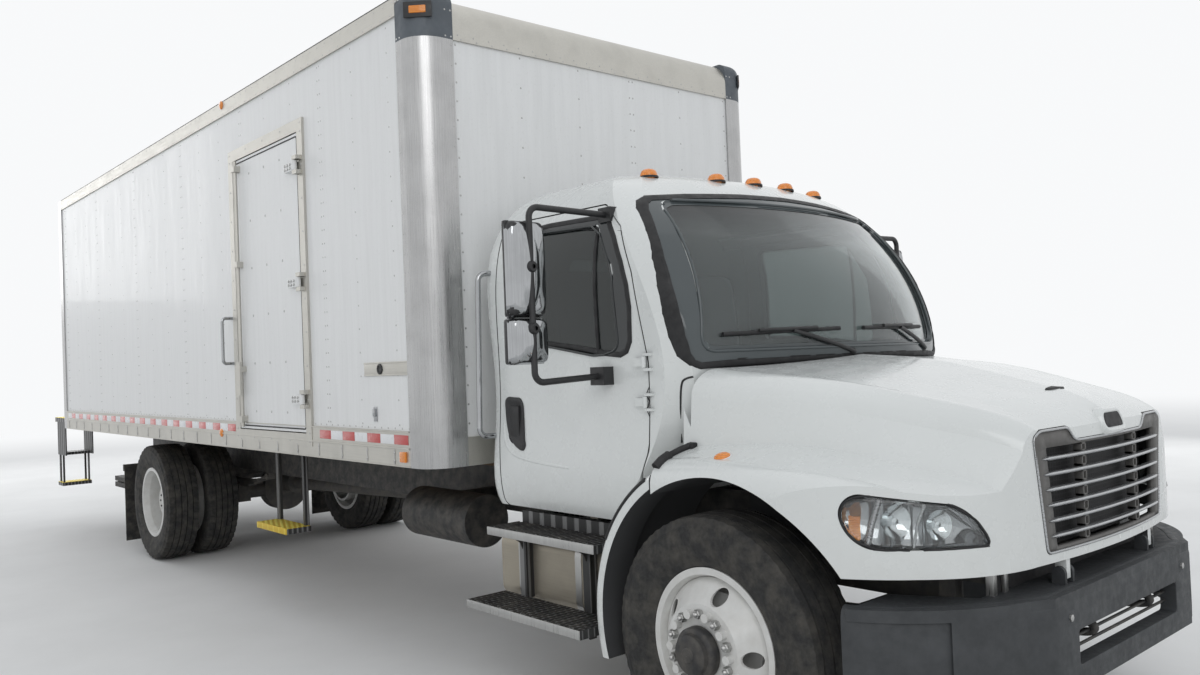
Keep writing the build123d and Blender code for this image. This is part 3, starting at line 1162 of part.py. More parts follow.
def body_fittings():
    """Side step, mudflaps, marker lamps and grab handles."""
    half = HALF_BOX - RAIL_PROUD
    step_y = (AXLE_Y + 3550.0, AXLE_Y + 4040.0)
    tread = block((-1285, -1120), step_y, (565, 600))
    legs = [block((-1150, -1120), (y, y + 30), (590, BOX_BOTTOM + 12 - GAP))
            for y in (step_y[0] + 20, step_y[1] - 50)]
    cross = block((-1150, -1120), (step_y[0] - 60, step_y[1] + 60),
                  (BOX_BOTTOM - 30, BOX_BOTTOM + 12 - GAP))
    add("side_step", fused([tread, cross] + legs))

    flap_y = REAR_AXLE_Y + TYRE_RADIUS + 190
    flap = block((600, 1240), (flap_y, flap_y + 10), (90, 760))
    bracket = block((HALF_FRAME + GAP, 1240), (flap_y + 10, flap_y + 50), (740, 800))
    add("mudflaps", *both(flap + bracket))

    lamps = []
    for x, y, z in ((0, 640, 2462), (270, 650, 2460), (-270, 650, 2460),
                    (640, 745, 2440), (-640, 745, 2440)):
        lamp = Pos(x, AXLE_Y + y, z) * Rot(0, 0, 0) * Cylinder(38, 50)
        lamps.append(lamp)
    cab_solid = cab_body()
    lamps = [lamp - cab_solid for lamp in lamps]
    for y, z in ((1990, BOX_BOTTOM + 50), (4620, BOX_BOTTOM + 100), (4420, BOX_TOP - 20)):
        for side in (-1, 1):
            lamps.append(disc(side * HALF_BOX + (GAP if side > 0 else -GAP - 14), AXLE_Y + y, z,
                              22, 14))
    lens_y = BOX_REAR + GAP
    for side in (-1, 1):
        for offset_x in (0, 90, 180):
            lamps.append(block((side * (520 + offset_x) - 35, side * (520 + offset_x) + 35),
                               (lens_y, lens_y + 22), (BOX_BOTTOM + 20, BOX_BOTTOM + 80)))
    add("marker_lamps", *lamps)

    handle = tube([(900.0, CAB_REAR - 75, 2080.0), (1070.0, CAB_REAR - 40, 2080.0),
                   (1095.0, CAB_REAR - 40, 1250.0), (960.0, CAB_REAR - 75, 1250.0)], 14.0, 40.0)
    handle = handle - cab_body(-GAP)
    wall_y = AXLE_Y + 4370.0
    grab = tube([(-half - GAP, wall_y, 2010.0), (-half - 75, wall_y, 2010.0),
                 (-half - 75, wall_y, 1690.0), (-half - GAP, wall_y, 1690.0)], 11.0, 25.0)
    add("grab_handles", *(both(handle) + [grab]))


# Liftgate stowed under the rear of the body

LIFT_PIVOT_Y = BOX_REAR - 1330.0
LIFT_PIVOT_Z = 640.0
LIFT_TIP_RISE = 40.0
LIFT_ARM = 900.0
LIFT_ARM_X = 560.0
LIFT_TUBE = 60.0
PLATFORM_HALF = 900.0
PLATFORM_LENGTH = 700.0


def liftgate():
    """Mounting frame, lift arms and the folded platform."""
    plate_y = (LIFT_PIVOT_Y - 120, LIFT_PIVOT_Y + 120)
    plates = both(block((HALF_FRAME + GAP, HALF_FRAME + 16), plate_y, (LIFT_PIVOT_Z - 130, RAIL_TOP - 10)))
    cross = disc(-LIFT_ARM_X - 30, LIFT_PIVOT_Y, LIFT_PIVOT_Z, LIFT_TUBE, 2 * LIFT_ARM_X + 60)
    cross = cross + block((-HALF_FRAME - 10, HALF_FRAME + 10), (LIFT_PIVOT_Y - 100, LIFT_PIVOT_Y - 40),
                          (LIFT_PIVOT_Z - 100, LIFT_PIVOT_Z + 10))
    add("liftgate_frame", fused(plates + [cross]))

    tip_y = LIFT_PIVOT_Y + LIFT_ARM
    tip_z = LIFT_PIVOT_Z + LIFT_TIP_RISE
    arms = []
    for side in (-1, 1):
        x = (side * LIFT_ARM_X - 20, side * LIFT_ARM_X + 20)
        bar = side_sheet([(LIFT_PIVOT_Y, LIFT_PIVOT_Z - 70), (LIFT_PIVOT_Y, LIFT_PIVOT_Z + 70),
                          (tip_y, tip_z + 45), (tip_y, tip_z - 45)], *x)
        bar = bar + disc(x[0], LIFT_PIVOT_Y, LIFT_PIVOT_Z, 95, 40) + disc(x[0], tip_y, tip_z, 45, 40)
        bar = bar - disc(x[0] - 5, LIFT_PIVOT_Y, LIFT_PIVOT_Z, LIFT_TUBE + 0.08, 50)
        arms.append(bar)
    shaft = disc(-LIFT_ARM_X - 60, tip_y, tip_z, 22, 2 * LIFT_ARM_X + 120)
    add("liftgate_arms", fused(arms + [shaft]))

    folded = []
    lugs = []
    for side in (-1, 1):
        x = side * (LIFT_ARM_X - 60)
        lugs.append(disc(x - 20, tip_y, tip_z, 50, 40))
        lugs.append(block((x - 20, x + 20), (tip_y - 50, tip_y + 50), (tip_z - 150, tip_z)))
    for layer in range(2):
        z_low = tip_z - 175 - layer * 62
        leaf = block((-PLATFORM_HALF, PLATFORM_HALF), (tip_y - PLATFORM_LENGTH, tip_y + 60),
                     (z_low, z_low + 50))
        folded.append(leaf)
    spacer = block((-PLATFORM_HALF + 50, PLATFORM_HALF - 50), (tip_y - PLATFORM_LENGTH + 10,
                                                            tip_y - PLATFORM_LENGTH + 60),
                   (tip_z - 190, tip_z - 170))
    platform = fused(folded + lugs + [spacer])
    for side in (-1, 1):
        platform = platform - disc(side * (LIFT_ARM_X - 60) - 25, tip_y, tip_z, 22 + 0.08, 50)
    add("liftgate_platform", platform)


chassis()
power_train()
axles()
running_gear()
cab()
mirrors()
interior()
bumper()
bonnet()
wing_rears()
tanks_and_steps()
exhaust()
van_body()
rear_end()
side_door()
body_fittings()
liftgate()

os.makedirs("parts", exist_ok=True)
for name, shape in PARTS.items():
    export_step(shape, f"parts/{name}.step")
    print(name, len(shape.solids()))
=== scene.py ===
"""Box truck: looks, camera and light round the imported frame."""

import json
import math

import bmesh
import bpy
from mathutils import Matrix, Vector
from mathutils.bvhtree import BVHTree


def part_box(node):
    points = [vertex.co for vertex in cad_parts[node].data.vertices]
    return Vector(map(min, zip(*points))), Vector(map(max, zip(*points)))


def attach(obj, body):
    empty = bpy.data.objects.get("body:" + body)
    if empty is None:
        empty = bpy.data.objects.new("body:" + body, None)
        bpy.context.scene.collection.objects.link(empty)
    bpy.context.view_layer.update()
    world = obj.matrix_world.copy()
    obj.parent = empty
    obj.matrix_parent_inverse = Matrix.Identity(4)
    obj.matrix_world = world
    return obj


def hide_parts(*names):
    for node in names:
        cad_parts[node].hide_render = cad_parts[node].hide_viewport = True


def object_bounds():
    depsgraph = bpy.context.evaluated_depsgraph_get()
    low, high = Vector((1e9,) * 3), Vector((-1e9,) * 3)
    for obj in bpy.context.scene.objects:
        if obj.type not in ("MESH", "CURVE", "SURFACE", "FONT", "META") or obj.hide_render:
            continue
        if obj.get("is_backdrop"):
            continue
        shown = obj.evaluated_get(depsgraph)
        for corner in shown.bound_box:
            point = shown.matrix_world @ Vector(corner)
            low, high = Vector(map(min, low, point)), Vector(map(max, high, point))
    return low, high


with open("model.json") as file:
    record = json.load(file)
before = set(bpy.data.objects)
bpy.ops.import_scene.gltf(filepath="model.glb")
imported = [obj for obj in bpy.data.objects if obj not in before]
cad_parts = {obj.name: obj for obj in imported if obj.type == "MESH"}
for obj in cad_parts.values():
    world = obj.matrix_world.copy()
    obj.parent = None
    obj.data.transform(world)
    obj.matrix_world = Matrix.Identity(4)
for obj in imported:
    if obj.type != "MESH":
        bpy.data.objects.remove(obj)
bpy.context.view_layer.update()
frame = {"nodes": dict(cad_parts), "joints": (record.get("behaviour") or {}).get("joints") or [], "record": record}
BOX = {name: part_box(name) for name in frame["nodes"]}

# Places that the frame gives
SIDES = ((-1, "right"), (1, "left"))
JOINT = {joint["name"]: joint for joint in frame["joints"]}
FRONT_AXLE = Vector(JOINT["front_roll_right"]["pos_m"])
REAR_AXLE = Vector(JOINT["rear_roll_right"]["pos_m"])
AXLE_Y = FRONT_AXLE.y
TYRE_RADIUS = BOX["front_tyre_right"][1][2] - FRONT_AXLE.z
RIM_RADIUS = (BOX["front_wheel_right"][1][2] - BOX["front_wheel_right"][0][2]) / 2
HALF_BOX = BOX["corner_posts"][1][0]
BOX_FRONT = BOX["corner_posts"][0][1]
POST_LOW, POST_TOP = (corner[2] for corner in BOX["corner_posts"])
BOX_REAR = BOX["rear_frame"][1][1]
BOX_TOP = BOX["corner_caps"][1][2]
RAIL_LOW = BOX["bottom_rails"][0][2]
WALL_X = BOX["box_wall_left"][1][0]
WALL_START, WALL_END = (corner[1] for corner in BOX["box_wall_left"])
WALL_LOW = RAIL_LOW + 0.190
WALL_HIGH = BOX_TOP - 0.100
DOOR_SPAN = tuple(corner[1] for corner in BOX["side_door_frame"])
DOOR_LOW, DOOR_HIGH = (corner[2] for corner in BOX["side_door_frame"])


# Materials

def grey(value):
    """A colour as it is, or a number as a grey."""
    return (value,) * 3 if isinstance(value, float) else value


class Graph:
    """A node tree, and short ways to grow it."""

    def __init__(self, tree):
        self.tree = tree

    def feed(self, socket, value):
        """Links a socket to another one or sets it."""
        if isinstance(value, bpy.types.NodeSocket):
            self.tree.links.new(value, socket)
        elif socket.type == "RGBA":
            socket.default_value = (*value, 1.0)
        else:
            socket.default_value = value

    def add(self, kind, inputs=(), out=0, **settings):
        """A node with its settings and inputs, of which one output is handed back."""
        made = self.tree.nodes.new(f"ShaderNode{kind}")
        for key, value in settings.items():
            setattr(made, key, value)
        for key, value in dict(inputs).items():
            self.feed(made.inputs[key], value)
        return made.outputs[out] if len(made.outputs) else made

    def where(self):
        """The model's own coordinates."""
        return self.add("TexCoord", out="Object")

    def noise(self, scale, detail=6.0, stretch=(1.0, 1.0, 1.0)):
        """Noise in the model's own space, stretched along an axis."""
        spread = self.add("Mapping", {"Vector": self.where(), "Scale": stretch})
        return self.add("TexNoise", {"Vector": spread, "Scale": scale, "Detail": detail,
                                     "Roughness": 0.6}, "Fac")

    def ramp(self, source, low, high, at=(0.35, 0.65)):
        """Two colours or two greys over a source's range."""
        made = self.add("ValToRGB", {"Fac": source}, "Color")
        for element, spot, value in zip(made.node.color_ramp.elements, at, (low, high)):
            element.position = spot
            element.color = (*grey(value), 1.0)
        return made

    def mix(self, share, first, second):
        """Blends two colours by a share."""
        return self.add("Mix", {0: share, 6: first, 7: second}, 2, data_type="RGBA")

    def maths(self, kind, first, second=0.0):
        """One arithmetic step on one or two values."""
        return self.add("Math", {0: first, 1: second}, operation=kind)

    def times(self, first, second):
        """Product of two values."""
        return self.maths("MULTIPLY", first, second)

    def height(self, low, high):
        """One below the low height and nothing above the high one."""
        level = self.add("SeparateXYZ", {0: self.where()}, "Z")
        return self.add("MapRange", {"Value": level, "From Min": high, "From Max": low}, "Result")

    def seen_ray(self):
        """One for rays of the camera, of mirrors and through glass, which show the backdrop."""
        camera, mirrored, passed = (self.add("LightPath", out=f"Is {kind} Ray")
                                    for kind in ("Camera", "Glossy", "Transmission"))
        return self.maths("MAXIMUM", self.maths("MAXIMUM", camera, mirrored), passed)


class Finish(Graph):
    """A principled material and the tools to give it detail."""

    def __init__(self, name, colour, rough, metal=0.0, coat=0.0, extra=()):
        self.made = bpy.data.materials.new(name)
        self.made.use_nodes = True
        super().__init__(self.made.node_tree)
        self.shader = self.tree.nodes["Principled BSDF"]
        self.colour = colour
        self.rough = rough
        self.set({"Base Color": colour, "Roughness": rough, "Metallic": metal,
                  "Coat Weight": coat, "Coat Roughness": 0.08, **dict(extra)})

    def set(self, inputs):
        """Sets or links inputs of the shader."""
        for key, value in inputs.items():
            self.feed(self.shader.inputs[key], value)

    def sources(self, key):
        """What feeds an input of the shader."""
        return [link.from_socket for link in self.tree.links
                if link.to_socket == self.shader.inputs[key]]

    def tone(self, share):
        """The plain colour, darker or paler."""
        return tuple(c * share for c in self.colour)

    def vary(self, source, low, high):
        """Roughness over a source's range, in shares of the plain one."""
        self.set({"Roughness": self.ramp(source, self.rough * low, min(1.0, self.rough * high))})

    def bump(self, source, strength, distance):
        """Surface relief from a source, on top of what is there."""
        inputs = {"Strength": strength, "Distance": distance, "Height": source}
        for under in self.sources("Normal"):
            inputs["Normal"] = under
        self.set({"Normal": self.add("Bump", inputs, "Normal")})


PAINT = (0.735, 0.755, 0.740)
PAINT_ROUGH = 0.25
PAINT_COAT = 0.45
ARCH_HALF = 1.17


def paint(name, colour, rough, coat, dust=(0.42, 0.39, 0.34), low=0.2, high=1.2, grain=0.03):
    """Gloss paint with faint cloudiness, and road dust towards its lower edges."""
    made = Finish(name, colour, rough, 0.0, coat)
    base = made.ramp(made.noise(2.3, 8.0), made.tone(0.955), colour, (0.3, 0.7))
    specks = made.ramp(made.noise(16.0, 3.0), 0.0, 1.0, (0.25, 0.85))
    film = made.times(made.times(made.height(low, high), specks), 0.40)
    made.set({"Base Color": made.mix(film, base, dust)})
    made.vary(made.noise(9.0), 0.8, 1.35)
    made.bump(made.noise(420.0, 2.0), grain, 0.001)
    return made


def lined(name, centre, inner, arch=None):
    """Gloss paint outside, dark trim on faces that look towards a centre, black arches."""
    made = paint(name, PAINT, PAINT_ROUGH, PAINT_COAT)
    where = made.where()
    away = made.add("VectorMath", {0: where, 1: centre}, "Vector", operation="SUBTRACT")
    normal = made.add("TexCoord", out="Normal")
    facing = made.add("VectorMath", {0: away, 1: normal}, "Value", operation="DOT_PRODUCT")
    share = made.maths("LESS_THAN", facing)
    if arch is not None:
        (arch_y, arch_z), radius = arch
        x, y, z = (made.add("SeparateXYZ", {0: where}, axis) for axis in "XYZ")
        dy = made.maths("SUBTRACT", y, arch_y)
        dz = made.maths("SUBTRACT", z, arch_z)
        reach = made.maths("ADD", made.times(dy, dy), made.times(dz, dz))
        near = made.maths("LESS_THAN", reach, radius * radius)
        inside = made.maths("LESS_THAN", made.maths("ABSOLUTE", x), ARCH_HALF)
        share = made.maths("MAXIMUM", share, made.times(near, inside))
    lining = made.ramp(made.noise(3.0, 3.0), tuple(c * 0.85 for c in inner), inner)
    made.set({"Base Color": made.mix(share, made.sources("Base Color")[0], lining),
              "Roughness": made.mix(share, made.sources("Roughness")[0], grey(0.8)),
              "Coat Weight": made.maths("SUBTRACT", PAINT_COAT, made.times(share, PAINT_COAT))})
    return made


def glassy(name, colour, rough, share, film=0.012):
    """Tinted glass or a clear moulded lens."""
    made = Finish(name, colour, rough, 0.0, 0.0, {"Transmission Weight": share, "IOR": 1.45})
    made.set({"Roughness": made.ramp(made.noise(7.0, 8.0), rough, rough + film, (0.4, 0.8))})
    return made


def shield_glass(name, clear, band, low, high):
    """Windshield glass with a shaded band along its top."""
    made = glassy(name, clear, 0.004, 0.93)
    made.set({"Base Color": made.mix(made.height(high, low), clear, band)})
    return made


def sheet_panel(name, colour, rough, streak=(1.0, 1.0, 0.06)):
    """White sheet panel: faint waves between its rivets, streaks and specks of dirt."""
    made = Finish(name, colour, rough, 0.0, 0.15)
    run = made.noise(26.0, 5.0, streak)
    base = made.ramp(run, made.tone(0.93), colour, (0.3, 0.62))
    dirt = made.times(made.ramp(made.noise(60.0, 10.0), 0.0, 1.0, (0.58, 0.82)), 0.30)
    made.set({"Base Color": made.mix(dirt, base, (0.46, 0.44, 0.40))})
    made.vary(run, 0.85, 1.25)
    made.bump(made.noise(1.7, 2.0, (1.0, 1.0, 0.45)), 0.35, 0.006)
    made.bump(made.noise(300.0, 2.0), 0.03, 0.0006)
    return made


def brushed(name, colour, rough, along, metal=1.0):
    """Brushed metal with fine scratches along an axis and dull patches."""
    made = Finish(name, colour, rough, metal)
    fine = made.noise(210.0, 4.0, tuple(0.015 if axis == along else 1.0 for axis in range(3)))
    base = made.ramp(fine, made.tone(0.80), colour, (0.3, 0.7))
    dull = made.times(made.ramp(made.noise(5.0, 6.0), 0.0, 1.0, (0.45, 0.72)), 0.5)
    made.set({"Base Color": made.mix(dull, base, made.tone(0.70))})
    made.vary(fine, 0.75, 1.3)
    made.bump(fine, 0.08, 0.0006)
    return made


def plastic(name, colour, rough, grain=900.0, strength=0.12, worn=None):
    """Moulded plastic or coated steel: fine grain, mottling and paler worn patches."""
    made = Finish(name, colour, rough)
    worn = worn or tuple(min(1.0, c * 1.7 + 0.01) for c in colour)
    patch = made.times(made.ramp(made.noise(7.0, 9.0), 0.0, 1.0, (0.42, 0.78)), 0.55)
    made.set({"Base Color": made.mix(patch, colour, worn)})
    made.vary(made.noise(30.0, 6.0), 0.85, 1.2)
    made.bump(made.noise(grain, 3.0), strength, 0.0008)
    return made


def dusty_black(name, colour, rough, dust=(0.20, 0.18, 0.15), amount=0.5):
    """Black underbody paint or rubber with settled dust."""
    made = Finish(name, colour, rough)
    film = made.times(made.ramp(made.noise(14.0, 10.0), 0.0, 1.0, (0.4, 0.8)), amount)
    made.set({"Base Color": made.mix(film, colour, dust)})
    made.vary(made.noise(55.0, 4.0), 0.9, 1.15)
    made.bump(made.noise(240.0, 5.0), 0.25, 0.001)
    return made


def tread_plate(name, colour, rough):
    """Steel tread plate: two crossing sets of raised lozenges, their tops painted paler as a painted highlight."""
    made = Finish(name, colour, rough, 0.6)
    bars = []
    for turn in (0.785, -0.785):
        spread = made.add("Mapping", {"Vector": made.where(), "Rotation": (0.0, 0.0, turn),
                                      "Scale": (42.0, 16.0, 1.0)})
        cells = made.add("TexVoronoi", {"Vector": spread, "Randomness": 0.0, "Scale": 1.0},
                         "Distance", voronoi_dimensions="2D")
        bars.append(made.ramp(cells, 1.0, 0.0, (0.24, 0.34)))
    lift = made.maths("MAXIMUM", *bars)
    # Paler lozenge tops: painted highlight
    bright = tuple(min(1.0, c * 3.2 + 0.10) for c in colour)
    made.set({"Base Color": made.mix(made.times(lift, 0.8), colour, bright)})
    made.bump(lift, 0.9, 0.003)
    made.bump(made.noise(160.0, 5.0), 0.1, 0.001)
    return made


def glowing_ribbed_lens(name, colour, rough, pitch):
    """Coloured lamp lens with moulded ribs, a faint painted glow and rib grooves painted darker as painted shade.
    """
    # Emission gives the lenses, and the red reflective film that is no lamp, a faint painted glow
    made = Finish(name, colour, rough, 0.0, 0.6, {
        "Transmission Weight": 0.25, "Emission Strength": 0.12, "Emission Color": colour})
    ribs = made.add("TexWave", {"Vector": made.where(), "Scale": pitch, "Distortion": 0.0}, "Fac",
                    bands_direction="Z")
    # The rib grooves are painted darker: painted shade of the ribs
    made.set({"Base Color": made.ramp(ribs, made.tone(0.62), colour, (0.2, 0.8))})
    made.bump(ribs, 0.5, 0.002)
    return made


def planks(name, colour, rough):
    """Laminated wooden deck boards with grain."""
    made = Finish(name, colour, rough)
    grain = made.noise(30.0, 8.0, (1.0, 0.06, 1.0))
    made.set({"Base Color": made.ramp(grain, made.tone(0.5), colour, (0.3, 0.7))})
    made.bump(grain, 0.3, 0.002)
    return made


def mesh_with_shaded_holes(name, colour):
    """Black plastic mesh of small square holes, drawn on a flat sheet with the holes painted darker as painted
    shade seen through them.
    """
    made = Finish(name, colour, 0.6)
    turned = made.add("Mapping", {"Vector": made.where(), "Rotation": (1.5708, 0.0, 0.0)})
    cells = made.add("TexBrick", {"Vector": turned, "Scale": 60.0, "Mortar Size": 0.14,
                                  "Brick Width": 1.0, "Row Height": 1.0}, "Fac", offset=0.0)
    # Square holes painted darker than the webs: painted shade through the holes
    made.set({"Base Color": made.mix(cells, made.tone(0.2), made.tone(1.5))})
    made.bump(cells, 0.8, 0.004)
    return made


def fabric(name, colour):
    """Woven seat cloth."""
    made = Finish(name, colour, 0.9, 0.0, 0.0, {"Sheen Weight": 0.4})
    weave = made.add("TexWave", {"Vector": made.where(), "Scale": 180.0}, "Fac")
    made.set({"Base Color": made.ramp(weave, made.tone(0.6), colour, (0.2, 0.8))})
    made.bump(weave, 0.4, 0.001)
    made.bump(made.noise(22.0), 0.2, 0.004)
    return made


CAB_MIDDLE = (0.0, AXLE_Y + 0.9, 1.70)
HOOD_MIDDLE = (0.0, AXLE_Y - 0.3, 0.90)
UNDER_HOOD = (0.055, 0.056, 0.058)
ARCH_AXIS = (AXLE_Y - 0.060, 0.550)
FINISHES = {
    "white_paint": (paint, PAINT, PAINT_ROUGH, PAINT_COAT),
    "cab_paint": (lined, CAB_MIDDLE, (0.075, 0.075, 0.080)),
    "hood_paint": (lined, HOOD_MIDDLE, UNDER_HOOD, (ARCH_AXIS, 0.606)),
    "wing_paint": (lined, HOOD_MIDDLE, UNDER_HOOD, (ARCH_AXIS, 0.672)),
    "shield_glass": (shield_glass, (0.60, 0.66, 0.66), (0.06, 0.08, 0.09), 2.14, 2.30),
    "mask_grey": (plastic, (0.075, 0.088, 0.092), 0.06, 700.0, 0.01, (0.085, 0.098, 0.102)),
    "mask_black": (plastic, (0.030, 0.034, 0.035), 0.06, 700.0, 0.01, (0.036, 0.040, 0.041)),
    "white_panel": (sheet_panel, (0.80, 0.805, 0.80), 0.42),
    "roof_white": (sheet_panel, (0.74, 0.745, 0.74), 0.55, (1.0, 0.2, 1.0)),
    "wheel_white": (paint, (0.70, 0.70, 0.68), 0.38, 0.2, (0.26, 0.22, 0.17), 0.0, 2.2, 0.05),
    "tank_tan": (brushed, (0.42, 0.38, 0.31), 0.45, 1, 0.6),
    "aluminium": (brushed, (0.60, 0.585, 0.54), 0.42, 1, 0.85),
    "stainless": (brushed, (0.50, 0.50, 0.50), 0.30, 2),
    "chrome": (brushed, (0.44, 0.45, 0.46), 0.07, 2),
    "mirror_glass": (brushed, (0.72, 0.75, 0.76), 0.04, 0),
    "grille_silver": (brushed, (0.52, 0.53, 0.54), 0.30, 0, 0.7),
    "steel": (brushed, (0.52, 0.52, 0.51), 0.35, 2),
    "cap_grey": (plastic, (0.085, 0.098, 0.112), 0.55, 420.0, 0.10),
    "bumper_dark": (plastic, (0.040, 0.043, 0.046), 0.62, 620.0, 0.35),
    "black_plastic": (plastic, (0.018, 0.018, 0.019), 0.48),
    "seal_black": (plastic, (0.010, 0.010, 0.011), 0.60, 500.0, 0.05),
    "white_film": (plastic, (0.80, 0.81, 0.82), 0.30, 700.0, 0.25, (0.68, 0.69, 0.70)),
    "grille_dark": (plastic, (0.115, 0.110, 0.104), 0.50, 500.0, 0.12, (0.15, 0.145, 0.135)),
    "interior_grey": (plastic, (0.060, 0.060, 0.064), 0.70, 300.0, 0.3),
    "frame_black": (dusty_black, (0.022, 0.022, 0.023), 0.58),
    "cast_grey": (dusty_black, (0.085, 0.083, 0.080), 0.72, (0.22, 0.19, 0.15)),
    "tyre": (dusty_black, (0.020, 0.020, 0.020), 0.82, (0.16, 0.145, 0.12), 0.45),
    "rubber": (dusty_black, (0.018, 0.018, 0.018), 0.78),
    "tread_black": (tread_plate, (0.055, 0.055, 0.055), 0.45),
    "tread_yellow": (tread_plate, (0.62, 0.44, 0.05), 0.55),
    "glass": (glassy, (0.11, 0.135, 0.13), 0.005, 0.88),
    "lamp_lens": (glassy, (0.92, 0.94, 0.94), 0.02, 0.96),
    "amber": (glowing_ribbed_lens, (0.95, 0.30, 0.02), 0.18, 45.0),
    "red_lens": (glowing_ribbed_lens, (0.70, 0.02, 0.015), 0.18, 45.0),
    # Reflective film on the lens finish, with its faint painted glow and painted rib shade
    "red_film": (glowing_ribbed_lens, (0.62, 0.03, 0.025), 0.30, 160.0),
    "seat_cloth": (fabric, (0.085, 0.085, 0.095)),
    "wood_deck": (planks, (0.22, 0.14, 0.075), 0.7),
    "mesh_black": (mesh_with_shaded_holes, (0.012, 0.012, 0.013)),
}
M = {name: make(name, *values).made for name, (make, *values) in FINISHES.items()}

# Which finish each node takes, where its slot's own isn't the one
NODE_FINISH = {
    "cab_shell": "cab_paint", "door_left": "cab_paint", "door_right": "cab_paint",
    "hood": "hood_paint", "wing_rears": "wing_paint", "cab_glass": "shield_glass",
    "grab_handles": "chrome", "side_tanks": "tank_tan", "box_roof": "roof_white",
    "rollup_door": "white_panel",
}
SLOT_OF = {part["node"]: part["material_slot"] for part in frame["record"]["subparts"]}
for name, node in frame["nodes"].items():
    node.data.materials.clear()
    node.data.materials.append(M[NODE_FINISH.get(name, SLOT_OF.get(name))])

SMOOTH_ANGLE = math.radians(38.0)


# Tools for the pieces

def placed(name, data, finish, body):
    """An object of the scene that rides on a body."""
    made = bpy.data.objects.new(name, data)
    bpy.context.scene.collection.objects.link(made)
    data.materials.append(M[finish])
    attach(made, body)
    return made


def from_bmesh(name, shaped, finish, body="truck"):
    """Turns a bmesh into a piece, shaded smooth between its creases."""
    mesh = bpy.data.meshes.new(name)
    bmesh.ops.recalc_face_normals(shaped, faces=shaped.faces)
    for edge in shaped.edges:
        edge.smooth = len(edge.link_faces) != 2 or edge.calc_face_angle(0.0) <= SMOOTH_ANGLE
    for face in shaped.faces:
        face.smooth = True
    shaped.to_mesh(mesh)
    shaped.free()
    return placed(name, mesh, finish, body)


def add_box(shaped, low, high, bevel=0.002, turn=None):
    """Adds a box with rounded edges to a bmesh."""
    size = [abs(b - a) for a, b in zip(low, high)]
    centre = Vector([(a + b) / 2 for a, b in zip(low, high)])
    made = bmesh.ops.create_cube(shaped, size=1.0)["verts"]
    for vert in made:
        vert.co = Vector([c * s for c, s in zip(vert.co, size)])
    if turn is not None:
        bmesh.ops.rotate(shaped, verts=made, cent=(0, 0, 0), matrix=turn)
    bmesh.ops.translate(shaped, verts=made, vec=centre)
    edges = list({edge for vert in made for edge in vert.link_edges})
    bmesh.ops.bevel(shaped, geom=edges, offset=min(bevel, min(size) * 0.45), segments=2,
                    profile=0.6, affect="EDGES", clamp_overlap=True)


def boxes(name, spans, finish, bevel=0.002, body="truck", turn=None):
    """Several boxes with rounded edges as one piece."""
    shaped = bmesh.new()
    for low, high in spans:
        add_box(shaped, low, high, bevel, turn)
    return from_bmesh(name, shaped, finish, body)


def skin(shaped, loops, closed=True, caps=()):
    """Faces between neighbouring loops, where they have all four corners, and end caps."""
    rows = [[None if at is None else shaped.verts.new(at) for at in loop] for loop in loops]
    for lower, upper in zip(rows, rows[1:]):
        for k in range(0 if closed else 1, len(lower)):
            corners = (lower[k - 1], lower[k], upper[k], upper[k - 1])
            if None not in corners:
                shaped.faces.new(corners)
    for end in caps:
        shaped.faces.new(rows[end])
    return rows


def skinned(name, loops, finish, body="truck", closed=True, caps=(), merge=0.0, wall=0.0):
    """A piece from loops of points, its near points merged and its wall thickened if asked."""
    shaped = bmesh.new()
    skin(shaped, loops, closed, caps)
    if merge:
        bmesh.ops.remove_doubles(shaped, verts=shaped.verts, dist=merge)
    made = from_bmesh(name, shaped, finish, body)
    if wall:
        made.modifiers.new("wall", "SOLIDIFY").thickness = wall
    return made


def frame_of(normal):
    """A direction and two more across it."""
    normal = Vector(normal).normalized()
    side = normal.cross(Vector((0, 0, 1)))
    if side.length < 0.1:
        side = normal.cross(Vector((0, 1, 0)))
    side.normalize()
    return normal, side, normal.cross(side).normalized()


def turns(count, start=0.0):
    """Even angles round a circle."""
    return [2 * math.pi * (k + start) / count for k in range(count)]


def rings(at, normal, levels, sides):
    """Loops round an axis, one for each lift along it and radius."""
    normal, u, v = frame_of(normal)
    return [[Vector(at) + normal * lift + (u * math.cos(t) + v * math.sin(t)) * radius
             for t in turns(sides)] for lift, radius in levels]


def add_dome(shaped, at, normal, radius, height, sides=7, count=2, seat=0.0006):
    """A low dome, such as a rivet head."""
    levels = []
    for ring in range(count):
        angle = (ring / count) * math.pi / 2
        levels.append((height * math.sin(angle) + (0.0 if ring else -seat),
                       radius * math.cos(angle)))
    rows = skin(shaped, rings(at, normal, levels, sides), caps=(0,))
    top = shaped.verts.new(Vector(at) + Vector(normal).normalized() * height)
    for k in range(sides):
        shaped.faces.new((rows[-1][k - 1], rows[-1][k], top))


def domes(name, spots, radius, height, finish, sides=7, count=2, body="truck"):
    """Rivet heads or round studs as one piece."""
    shaped = bmesh.new()
    for at, normal in spots:
        add_dome(shaped, at, normal, radius, height, sides, count)
    return from_bmesh(name, shaped, finish, body)


def rivets(name, spots, radius=0.006, height=0.0022, sides=7, body="truck"):
    """Steel rivet heads as one piece."""
    domes(name, spots, radius, height, "steel", sides, body=body)


def add_hex(shaped, at, normal, radius, height, chamfer=0.18):
    """A bolt head or nut on its seat."""
    levels = ((0.0, radius), (height * (1 - chamfer), radius), (height, radius * (1 - chamfer)))
    skin(shaped, rings(at, normal, levels, 6), caps=(0, -1))


